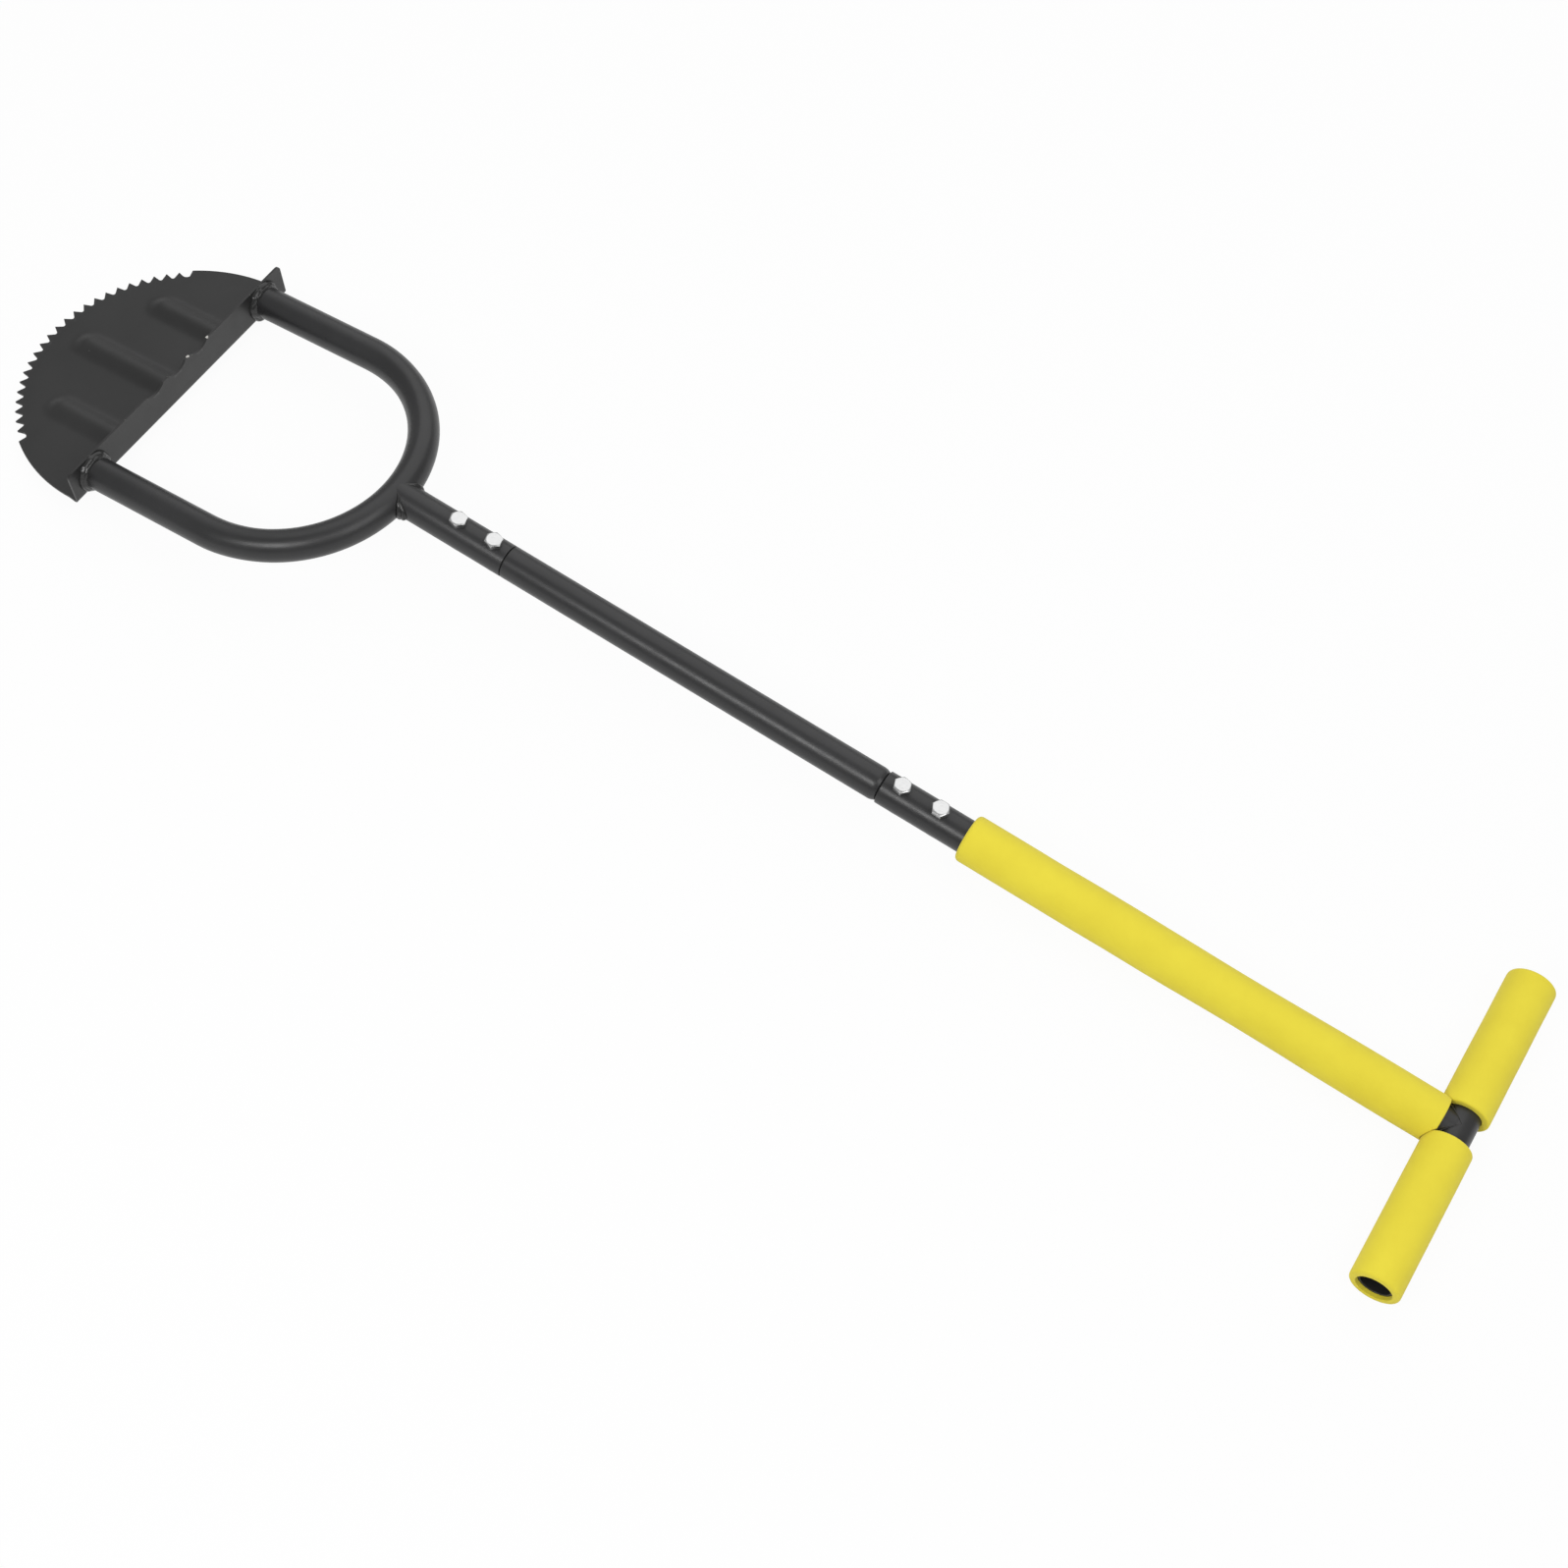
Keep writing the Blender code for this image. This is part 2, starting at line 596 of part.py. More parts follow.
def build_fasteners(handle):
    """Bolts from above, with their heads on the tube's crown, and nuts below."""
    facing_up = (math.pi / 2, 0.0, 0.0)
    head_low = TUBE_RADIUS + GAP
    head_top = head_low + BOLT_HEAD_HEIGHT
    nut_top = -TUBE_RADIUS - GAP
    nut_low = nut_top - NUT_HEIGHT
    for joint, places in BOLT_PLACES.items():
        for number, place in enumerate(places, start=1):
            bolt_name = f"{joint}_bolt_{number}"
            bolt = add_part(bolt_name, hex_mesh(bolt_name, head_low, head_top), handle, zinc(bolt_name))
            rounding = chamfer_cutter(bolt_name + "_chamfer", handle, head_low, head_top, True, False)
            shank_mesh = cylinder_mesh(bolt_name + "_shank", BOLT_RADIUS, head_low - BOLT_LENGTH,
                                       head_low + EXTRA / 5, "Z", BORE_SEGMENTS)
            shank = add_cutter(bolt_name + "_shank", shank_mesh, handle)
            cut(bolt, rounding, "INTERSECT")
            cut(bolt, shank, "UNION")

            nut_name = f"{joint}_nut_{number}"
            nut = add_part(nut_name, hex_mesh(nut_name, nut_low, nut_top), handle, zinc(nut_name))
            nut_round = chamfer_cutter(nut_name + "_chamfer", handle, nut_low, nut_top, False, True)
            bore_mesh = cylinder_mesh(nut_name + "_bore", BOLT_RADIUS + GAP, nut_low - EXTRA, nut_top + EXTRA,
                                      "Z", BORE_SEGMENTS)
            bore = add_cutter(nut_name + "_bore", bore_mesh, handle)
            cut(nut, nut_round, "INTERSECT")
            cut(nut, bore)
            for item in (bolt, rounding, shank, nut, nut_round, bore):
                item.location = (0.0, 0.0, place)
                item.rotation_euler = facing_up


clear_scene()
PARTS = make_collection("half_moon_lawn_edger")
CUTTERS = make_collection("cutters")
TILT, PLACE = rest_attitude()
HEAD = add_empty("head_frame", None, PLACE, TILT)
HANDLE = add_empty("handle_frame", HEAD, (0.0, ARM_LENGTH + BOW_RADIUS, 0.0), -math.pi / 2 - CRANK)
build_blade(HEAD)
build_bow(HEAD)
BAR_CLEARANCE = build_handle(HANDLE, HEAD)
BEAD_CLEARANCE = build_cross_bar(HANDLE, BAR_CLEARANCE)
build_grips(HANDLE, BEAD_CLEARANCE)
build_fasteners(HANDLE)
bpy.context.view_layer.update()
print("head tilt", round(math.degrees(TILT), 3), "degrees; head origin", [round(v, 5) for v in PLACE])
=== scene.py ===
# %% [markdown]
# # Half-moon lawn edger
#
# A gardener pushes this tool's saw-tooth blade into the turf with one foot on the folded step plate, and
# rocks it with both hands on the foam grips. The blade is pressed sheet steel, the bow is bent tube, and
# the handle is three tubes that bolt together, so that it packs into a short box.
#
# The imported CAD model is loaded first. It fixes every size and place. What follows dresses it: each visible
# piece is modelled again with the rounded edges, pressed ribs, weld beads and soft foam of the real one.

# %% Load the frame
import math

import bmesh
import bpy
from mathutils import Matrix, Vector, noise


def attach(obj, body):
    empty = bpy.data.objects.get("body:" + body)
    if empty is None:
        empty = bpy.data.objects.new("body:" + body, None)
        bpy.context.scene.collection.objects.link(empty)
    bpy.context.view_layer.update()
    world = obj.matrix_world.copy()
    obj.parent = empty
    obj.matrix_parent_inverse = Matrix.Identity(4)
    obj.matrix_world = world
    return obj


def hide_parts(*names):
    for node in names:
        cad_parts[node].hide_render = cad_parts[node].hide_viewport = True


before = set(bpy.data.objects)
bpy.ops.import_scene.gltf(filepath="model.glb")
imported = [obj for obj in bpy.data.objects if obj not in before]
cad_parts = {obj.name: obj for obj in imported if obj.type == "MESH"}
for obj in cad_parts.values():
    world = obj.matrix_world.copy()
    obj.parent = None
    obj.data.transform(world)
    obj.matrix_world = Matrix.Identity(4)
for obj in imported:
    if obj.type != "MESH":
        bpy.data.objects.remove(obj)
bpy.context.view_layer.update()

MM = 0.001
print("nodes:", len(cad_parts))

# %% [markdown]
# ## Two frames to work in
#
# The tool lies on the ground on its middle tooth and on the two cross grips, so nothing on it is level.
# It is easier to model each piece in a frame where it is square, and to turn it into place at the end.
# The head frame has the bow flat in its XY plane, with the step plate's outer face at Y = 0. The handle
# frame starts where the handle meets the bow, and its Z axis runs along the handle; -Y is its upper side.
# A finished mesh is moved by one of these two matrices, and its object stays at the origin, unturned.

# %% The sizes and the two frames
TUBE_RADIUS = 10.5 * MM
TUBE_WALL = 1.5 * MM
SHEET = 1.5 * MM
BLADE_UNDERSIDE = -11.5 * MM
ARC_CENTRE_Y = -8.3 * MM
TOOTH_TIP_RADIUS = 101.2 * MM
BOW_RADIUS = 83.0 * MM
ARM_LENGTH = 88.0 * MM
CRANK = math.radians(7.5)
HANDLE_LENGTH = 727.0 * MM
GRIP_RADIUS = 15.0 * MM


def head_frame():
    """Lays the tool down: the middle tooth and the cross grips touch the ground."""
    bar_y = ARM_LENGTH + BOW_RADIUS + HANDLE_LENGTH * math.cos(CRANK)
    bar_z = -HANDLE_LENGTH * math.sin(CRANK)
    tip_y = ARC_CENTRE_Y - TOOTH_TIP_RADIUS
    reach = math.hypot(bar_y - tip_y, bar_z - BLADE_UNDERSIDE)
    tilt = math.asin(GRIP_RADIUS / reach) - math.atan2(bar_z - BLADE_UNDERSIDE, bar_y - tip_y)
    turn = Matrix.Rotation(tilt, 3, "X")
    lowest = (turn @ Vector((0.0, tip_y, BLADE_UNDERSIDE))).z
    front = (turn @ Vector((0.0, tip_y, BLADE_UNDERSIDE + SHEET))).y
    back = (turn @ Vector((0.0, bar_y, bar_z))).y + GRIP_RADIUS
    return Matrix.Translation((0.0, -(front + back) / 2, -lowest)) @ Matrix.Rotation(tilt, 4, "X")


HEAD = head_frame()
NECK = Matrix.Translation((0.0, ARM_LENGTH + BOW_RADIUS, 0.0))
HANDLE = HEAD @ NECK @ Matrix.Rotation(-math.pi / 2 - CRANK, 4, "X")
BAR = HANDLE @ Matrix.Translation((0.0, 0.0, HANDLE_LENGTH)) @ Matrix.Rotation(math.pi / 2, 4, "Y")
print("head tilt", round(math.degrees(HEAD.to_euler().x), 3), "cross bar centre in mm",
      [round(v / MM, 1) for v in BAR.translation])

# %% [markdown]
# ## Colours and nodes
#
# Colours are written as they look on a screen, in sRGB hex, and one function turns them to the linear
# values that the renderer computes with. A second small function adds a shader node, sets it up and links
# its inputs, so that each material below reads as a short recipe. A Mix node has sockets for every kind of
# data under the same names, so its colour sockets are found by number.

# %% Helpers for materials
MIX_A, MIX_B, MIX_RESULT = 6, 7, 2


def linear(hex_colour):
    """An sRGB hex colour as linear red, green, blue and alpha."""
    parts = [int(hex_colour[i:i + 2], 16) / 255 for i in (1, 3, 5)]
    return (*[v / 12.92 if v <= 0.04045 else ((v + 0.055) / 1.055) ** 2.4 for v in parts], 1.0)


def add_node(tree, kind, inputs=None, **settings):
    """Adds a node; an input's value is a number, a colour or another node's socket."""
    node = tree.nodes.new("ShaderNode" + kind)
    for key, value in settings.items():
        setattr(node, key, value)
    for key, value in (inputs or {}).items():
        if isinstance(value, bpy.types.NodeSocket):
            tree.links.new(value, node.inputs[key])
        else:
            node.inputs[key].default_value = value
    return node


def new_material(name):
    """An empty material with a shader and an output, and the piece's own coordinates in metres."""
    material = bpy.data.materials.new(name)
    material.use_nodes = True
    tree = material.node_tree
    tree.nodes.clear()
    shader = add_node(tree, "BsdfPrincipled")
    add_node(tree, "OutputMaterial", {"Surface": shader.outputs["BSDF"]})
    place = add_node(tree, "TexCoord").outputs["Object"]
    return material, tree, shader, place


# %% [markdown]
# ## Powder-coated steel
#
# The steel is coated with black polyester powder and baked. The powder melts to a satin skin about 80
# microns thick, with a faint orange-peel ripple a millimetre or two across, and a few nibs where a grain
# of dust was caught. It is a dielectric, so metallic is 0 and the gloss comes from roughness alone.
# On the cut edges the coat is thinner, and knocks chip it down to bright steel. Pieces that have such edges
# carry an "edge" attribute, 1 on the edge itself and 2 where a knock has landed, and the bare steel shows
# only where it is high.

# %% Satin black powder coat
def black_powder_coat(name, colour, sheen, chips):
    """Baked powder coat; sheen is its roughness, and chips is how much of a cut edge has lost its paint."""
    material, tree, shader, place = new_material(name)
    clouds = add_node(tree, "TexNoise", {"Vector": place, "Scale": 1 / (60 * MM), "Detail": 3.0})
    tone = add_node(tree, "ValToRGB", {"Fac": clouds.outputs["Fac"]})
    base = Vector(linear(colour)[:3])
    tone.color_ramp.elements[0].position = 0.3
    tone.color_ramp.elements[0].color = (*(base * 0.85), 1.0)
    tone.color_ramp.elements[1].position = 0.7
    tone.color_ramp.elements[1].color = (*(base * 1.15), 1.0)
    fine = add_node(tree, "TexNoise", {"Vector": place, "Scale": 1 / (9 * MM), "Detail": 6.0})
    gloss = add_node(tree, "MapRange", {"Value": fine.outputs["Fac"], "From Min": 0.3, "From Max": 0.7,
                                        "To Min": sheen - 0.04, "To Max": sheen + 0.04})
    peel = add_node(tree, "TexNoise", {"Vector": place, "Scale": 1 / (1.8 * MM), "Detail": 1.0})
    nibs = add_node(tree, "TexVoronoi", {"Vector": place, "Scale": 1 / (14 * MM), "Randomness": 1.0})
    nib = add_node(tree, "MapRange", {"Value": nibs.outputs["Distance"], "From Min": 0.0, "From Max": 0.035,
                                      "To Min": 1.0, "To Max": 0.0}, interpolation_type="SMOOTHSTEP")
    height = add_node(tree, "Math", {0: nib.outputs["Result"], 1: peel.outputs["Fac"]}, operation="ADD")
    bump = add_node(tree, "Bump", {"Height": height.outputs["Value"], "Strength": 0.06,
                                   "Distance": 0.01 * MM})
    edge = add_node(tree, "Attribute", attribute_name="edge")
    scars = add_node(tree, "TexNoise", {"Vector": place, "Scale": 1 / (5 * MM), "Detail": 4.0,
                                        "Roughness": 0.7})
    worn = add_node(tree, "Math", {0: edge.outputs["Fac"], 1: scars.outputs["Fac"]}, operation="MULTIPLY")
    bare = add_node(tree, "MapRange", {"Value": worn.outputs["Value"], "From Min": 0.72 - 0.2 * chips,
                                       "From Max": 0.75 - 0.2 * chips, "To Min": 0.0, "To Max": 1.0})
    steel = add_node(tree, "Mix", {"Factor": bare.outputs["Result"], MIX_A: tone.outputs["Color"],
                                   MIX_B: linear("#d9d7d2")}, data_type="RGBA")
    links = tree.links
    links.new(steel.outputs[MIX_RESULT], shader.inputs["Base Color"])
    links.new(bare.outputs["Result"], shader.inputs["Metallic"])
    links.new(gloss.outputs["Result"], shader.inputs["Roughness"])
    links.new(bump.outputs["Normal"], shader.inputs["Normal"])
    return material


TUBE_COAT = black_powder_coat("satin_black_powder_coat_tube", "#272728", sheen=0.35, chips=0.0)
BLADE_COAT = black_powder_coat("satin_black_powder_coat_pressed_sheet", "#262626", sheen=0.38, chips=0.3)
WELD_COAT = black_powder_coat("gloss_black_powder_coat_over_weld", "#232323", sheen=0.2, chips=0.0)
print("coats:", TUBE_COAT.name, BLADE_COAT.name, WELD_COAT.name)

# %% [markdown]
# ## Foam rubber
#
# The grips are extruded closed-cell nitrile foam, pushed over the tube while it is wet with soap. Its skin
# is matte and slightly mottled, with open pores a few tenths of a millimetre across where cells broke at
# the surface. Light enters the pale foam a little way, and a touch of sheen stands for that softness. The
# pores are drawn at about one millimetre, coarser than the real ones, because those would vanish in the
# render.

# %% Yellow foam
def closed_cell_foam(name, colour, shade_colour):
    """Extruded foam rubber with a fine open skin."""
    material, tree, shader, place = new_material(name)
    mottle = add_node(tree, "TexNoise", {"Vector": place, "Scale": 1 / (25 * MM), "Detail": 5.0,
                                         "Roughness": 0.6})
    mixing = add_node(tree, "MapRange", {"Value": mottle.outputs["Fac"], "From Min": 0.35,
                                         "From Max": 0.65})
    tone = add_node(tree, "Mix", {"Factor": mixing.outputs["Result"], MIX_A: linear(shade_colour),
                                  MIX_B: linear(colour)}, data_type="RGBA")
    pores = add_node(tree, "TexVoronoi", {"Vector": place, "Scale": 1 / (1.1 * MM)}, feature="SMOOTH_F1")
    cells = add_node(tree, "TexNoise", {"Vector": place, "Scale": 1 / (2.5 * MM), "Detail": 4.0})
    height = add_node(tree, "Math", {0: pores.outputs["Distance"], 1: cells.outputs["Fac"]},
                      operation="ADD")
    bump = add_node(tree, "Bump", {"Height": height.outputs["Value"], "Strength": 0.3,
                                   "Distance": 0.1 * MM})
    shader.inputs["Roughness"].default_value = 0.8
    shader.inputs["Specular IOR Level"].default_value = 0.3
    shader.inputs["Sheen Weight"].default_value = 0.1
    shader.inputs["Sheen Roughness"].default_value = 0.5
    tree.links.new(tone.outputs[MIX_RESULT], shader.inputs["Base Color"])
    tree.links.new(bump.outputs["Normal"], shader.inputs["Normal"])
    return material


FOAM = closed_cell_foam("yellow_closed_cell_foam_extruded", "#ebdb3f", "#e7d63c")
print("foam:", FOAM.name)

# %% [markdown]
# ## Zinc plate
#
# The bolts and nuts are cold-headed steel with a bright zinc plate. It is a true metal, so its colour is
# in the reflection. Barrel plating leaves it slightly uneven, from satin to bright.

# %% Bright zinc
def bright_zinc(name):
    """Barrel-plated zinc on cold-headed steel."""
    material, tree, shader, place = new_material(name)
    stain = add_node(tree, "TexNoise", {"Vector": place, "Scale": 1 / (3 * MM), "Detail": 5.0,
                                        "Roughness": 0.65})
    gloss = add_node(tree, "MapRange", {"Value": stain.outputs["Fac"], "From Min": 0.3, "From Max": 0.7,
                                        "To Min": 0.14, "To Max": 0.26})
    tone = add_node(tree, "Mix", {"Factor": stain.outputs["Fac"], MIX_A: linear("#c8c9ca"),
                                  MIX_B: linear("#e2e2e1")}, data_type="RGBA")
    bump = add_node(tree, "Bump", {"Height": stain.outputs["Fac"], "Strength": 0.3, "Distance": 0.05 * MM})
    shader.inputs["Metallic"].default_value = 1.0
    tree.links.new(tone.outputs[MIX_RESULT], shader.inputs["Base Color"])
    tree.links.new(gloss.outputs["Result"], shader.inputs["Roughness"])
    tree.links.new(bump.outputs["Normal"], shader.inputs["Normal"])
    return material


ZINC = bright_zinc("bright_zinc_plate_cold_headed")
print("plate:", ZINC.name)

# %% [markdown]
# ## Finishing a piece
#
# Every piece ends the same way: doubles are merged, faces are turned outwards, the mesh is moved to its
# place on the tool, edges sharper than 35 degrees stay crisp, the CAD nodes it stands for are hidden, and
# it is hung under the tool's one rigid body so that it moves with it.
#
# The shapes share a few moves too: spinning a profile into a turned piece, rounding its corners, cutting
# a shape across so that it can bend, and joining two shapes into one piece.

# %% Helpers for pieces
MERGE_DISTANCE = 0.002 * MM
CUT_TOLERANCE = 0.001 * MM
SHARP_ANGLE = math.radians(35)
TURN_STEPS = 72
SIDES = ((-1, "left"), (1, "right"))


def finish_piece(name, shape, place, material, nodes):
    """Makes the object from a bmesh that was modelled in the frame called place."""
    bmesh.ops.remove_doubles(shape, verts=shape.verts, dist=MERGE_DISTANCE)
    bmesh.ops.recalc_face_normals(shape, faces=shape.faces)
    bmesh.ops.transform(shape, matrix=place, verts=shape.verts)
    mesh = bpy.data.meshes.new(name)
    shape.to_mesh(mesh)
    shape.free()
    mesh.materials.append(material)
    mesh.shade_smooth()
    mesh.set_sharp_from_angle(angle=SHARP_ANGLE)
    piece = bpy.data.objects.new(name, mesh)
    bpy.context.scene.collection.objects.link(piece)
    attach(piece, "root")
    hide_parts(*nodes)
    print(name, len(mesh.polygons), "faces for", ", ".join(nodes))
    return piece


def join_shapes(first, second):
    """Adds the second bmesh to the first, and frees it."""
    carrier = bpy.data.meshes.new("carrier")
    second.to_mesh(carrier)
    second.free()
    first.from_mesh(carrier)
    bpy.data.meshes.remove(carrier)
    return first


def turned(profile, steps=TURN_STEPS, closed=True):
    """Spins a profile of (radius, height) points a full turn round the Z axis."""
    shape = bmesh.new()
    verts = [shape.verts.new((radius, 0.0, height)) for radius, height in profile]
    first = 0 if closed else 1
    edges = [shape.edges.new((verts[i - 1], verts[i])) for i in range(first, len(verts))]
    bmesh.ops.spin(shape, geom=verts + edges, cent=(0.0, 0.0, 0.0), axis=(0.0, 0.0, 1.0), angle=math.tau,
                   steps=steps, use_merge=True)
    return shape


def cut_across(shape, point, normal):
    """Divides every face that the plane crosses, and takes nothing away."""
    everything = shape.verts[:] + shape.edges[:] + shape.faces[:]
    bmesh.ops.bisect_plane(shape, geom=everything, dist=CUT_TOLERANCE, plane_co=point, plane_no=normal)


def eased(corners, parts=5):
    """Rounds a closed outline: each corner is (a, b, radius), and radius 0 leaves it sharp."""
    points = []
    count = len(corners)
    for i, (a, b, ease) in enumerate(corners):
        here = Vector((a, b))
        if ease == 0.0:
            points.append((a, b))
            continue
        before = (Vector(corners[i - 1][:2]) - here).normalized() * ease
        after = (Vector(corners[(i + 1) % count][:2]) - here).normalized() * ease
        for k in range(parts + 1):
            t = k / parts
            point = here + before * (1 - t) ** 2 + after * t ** 2
            points.append((point.x, point.y))
    return points


# %% [markdown]
# ## The blade's blank
#
# The blade and the step plate are one sheet. In the press shop a flat blank is punched first: a half moon
# with 23 saw teeth, a rounded notch at each end of the row of teeth, and at the straight side a strip that
# will become the step plate, with three shallow scallops in its free edge. Drawing the blank flat is also
# the easiest way here, because every punched outline is then a plain curve in one plane.
#
# The gullet between two teeth and the notch are short lists of points: how far along the row in shares of
# one tooth's step, and how high over the root in millimetres. The strip's height on the blank is the
# length along the middle of the fold and up the plate.

# %% The blank's outline
BLADE_HALF_WIDTH = 103.0 * MM
TOOTH_COUNT = 23
TOOTH_STEP = math.radians(4.7)
TOOTH_ROOT_RADIUS = 96.4 * MM
GULLET = ((0.36, 0.55), (0.42, 0.16), (0.50, 0.0), (0.58, 0.16), (0.64, 0.55))
LAST_FLANK = (0.30, 1.3)
NOTCH = ((-0.22, 0.34), (-0.12, 0.08), (0.0, 0.0), (0.12, 0.12), (0.22, 0.55))
NOTCH_ANGLE = math.radians(54.8)
NOTCH_RADIUS = 96.7 * MM
PLAIN_EDGE_ANGLE = math.radians(56.7)
PLAIN_EDGE_RADIUS = 102.3 * MM
FOLD_RADIUS = 3.0 * MM
STEP_TOP = 13.5 * MM
FOLD_START = -FOLD_RADIUS
FOLD_MIDDLE_RADIUS = FOLD_RADIUS - SHEET / 2
FOLD_LENGTH = FOLD_MIDDLE_RADIUS * math.pi / 2
BLANK_TOP = FOLD_START + FOLD_LENGTH + STEP_TOP - (BLADE_UNDERSIDE + FOLD_RADIUS)
SCALLOPS = {"count": 3, "pitch": 21.5 * MM, "width": 17.0 * MM, "depth": 3.5 * MM, "fullness": 0.75}
STEP_CORNER = 3.0 * MM
ARC_POINTS, CORNER_POINTS, SCALLOP_POINTS = 24, 6, 12


def on_arc(angle, radius):
    """A point of the blank at an angle from the middle tooth, seen from the blade's centre."""
    return (radius * math.sin(angle), ARC_CENTRE_Y - radius * math.cos(angle))


def blank_half():
    """The right half of the blank's outline, from the middle tooth round to the middle of the free edge."""
    half = []
    last = TOOTH_COUNT // 2
    for i in range(last + 1):
        half.append(on_arc(i * TOOTH_STEP, TOOTH_TIP_RADIUS))
        if i < last:
            for share, rise in GULLET:
                half.append(on_arc((i + share) * TOOTH_STEP, TOOTH_ROOT_RADIUS + rise * MM))
    share, rise = LAST_FLANK
    half.append(on_arc((last + share) * TOOTH_STEP, NOTCH_RADIUS + rise * MM))
    for share, rise in NOTCH:
        half.append(on_arc(NOTCH_ANGLE + share * TOOTH_STEP, NOTCH_RADIUS + rise * MM))
    sweep = math.pi / 2 - PLAIN_EDGE_ANGLE
    for i in range(ARC_POINTS + 1):
        half.append(on_arc(PLAIN_EDGE_ANGLE + sweep * i / ARC_POINTS, PLAIN_EDGE_RADIUS))
    half.append((BLADE_HALF_WIDTH, FOLD_START))
    for i in range(CORNER_POINTS + 1):
        angle = math.pi / 2 * i / CORNER_POINTS
        half.append((BLADE_HALF_WIDTH - STEP_CORNER * (1 - math.cos(angle)),
                     BLANK_TOP - STEP_CORNER * (1 - math.sin(angle))))
    for i in range(SCALLOPS["count"]):
        middle = ((SCALLOPS["count"] - 1) / 2 - i) * SCALLOPS["pitch"]
        for k in range(SCALLOP_POINTS + 1):
            across = SCALLOPS["width"] / 2 * math.cos(math.pi * k / SCALLOP_POINTS)
            if middle + across > CUT_TOLERANCE:
                bowed = (1 - (2 * across / SCALLOPS["width"]) ** 2) ** SCALLOPS["fullness"]
                half.append((middle + across, BLANK_TOP - SCALLOPS["depth"] * bowed))
    half.append((0.0, BLANK_TOP - SCALLOPS["depth"]))
    return half


HALF = blank_half()
BLANK = HALF + [(-x, y) for x, y in HALF[-2:0:-1]]
print("blank:", len(BLANK), "outline points,", round(BLANK_TOP / MM, 2), "mm of strip above the fold line")

# %% [markdown]
# ## Punching and slicing the blank
#
# The outline becomes one flat face. Three thin insets follow its edge, and they will carry the rounding
# that the coat gives to a punched edge. Then straight cuts slice the face into small cells, so that the
# sheet has enough points for the ribs to rise smoothly and for the fold to bend. Extruding the sliced
# sheet gives it an upper and a lower face and the wall between them. Two knocks on the cusps between the
# scallops are marked on the edge attribute, where boots and stones have bared the steel. The welding jig
# let the blade sit about half a millimetre to one side.

# %% Punch, inset, slice and thicken
RIBS = ((-50.0 * MM, -71.0 * MM), (0.0, -92.0 * MM), (50.0 * MM, -71.0 * MM))
RIB_NEAR_END = -6.0 * MM
RIB_HALF_WIDTH = 11.0 * MM
RIB_HEIGHT = 3.2 * MM
RIB_FULLNESS = 0.85
KNOCKS = ((-30.4 * MM, 0.5 * MM), (-12.2 * MM, 0.55 * MM))
KNOCK_WEAR = 2.0
CELL_MM = 2
LAST_CUT_MM = 102
BLADE_ROWS, FOLD_ROWS, PLATE_ROWS = 53, 8, 10
EDGE_INSETS = (0.1 * MM, 0.2 * MM, 0.5 * MM)
EDGE_ROUNDING = 0.2 * MM
EDGE_WEAR = 0.8 * MM


def lift_of_ribs(x, y):
    """How far the three ribs, pressed up from below, raise the sheet."""
    lift = 0.0
    for place, far_end in RIBS:
        nearest = min(max(y, far_end + RIB_HALF_WIDTH), RIB_NEAR_END - RIB_HALF_WIDTH)
        distance = math.hypot(x - place, y - nearest) / RIB_HALF_WIDTH
        if distance < 1.0:
            lift = max(lift, RIB_HEIGHT * (0.5 + 0.5 * math.cos(math.pi * distance)) ** RIB_FULLNESS)
    return lift


def press_and_fold(x, along, above):
    """Where a point of the blank goes, above being its height over the middle of the sheet."""
    middle = BLADE_UNDERSIDE + SHEET / 2
    if along <= FOLD_START:
        return Vector((x, along, middle + lift_of_ribs(x, along) + above))
    if along <= FOLD_START + FOLD_LENGTH:
        angle = (along - FOLD_START) / FOLD_MIDDLE_RADIUS
        radius = FOLD_MIDDLE_RADIUS - above
        return Vector((x, FOLD_START + radius * math.sin(angle),
                       BLADE_UNDERSIDE + FOLD_RADIUS - radius * math.cos(angle)))
    rise = along - FOLD_START - FOLD_LENGTH
    return Vector((x, -SHEET / 2 - above, BLADE_UNDERSIDE + FOLD_RADIUS + rise))


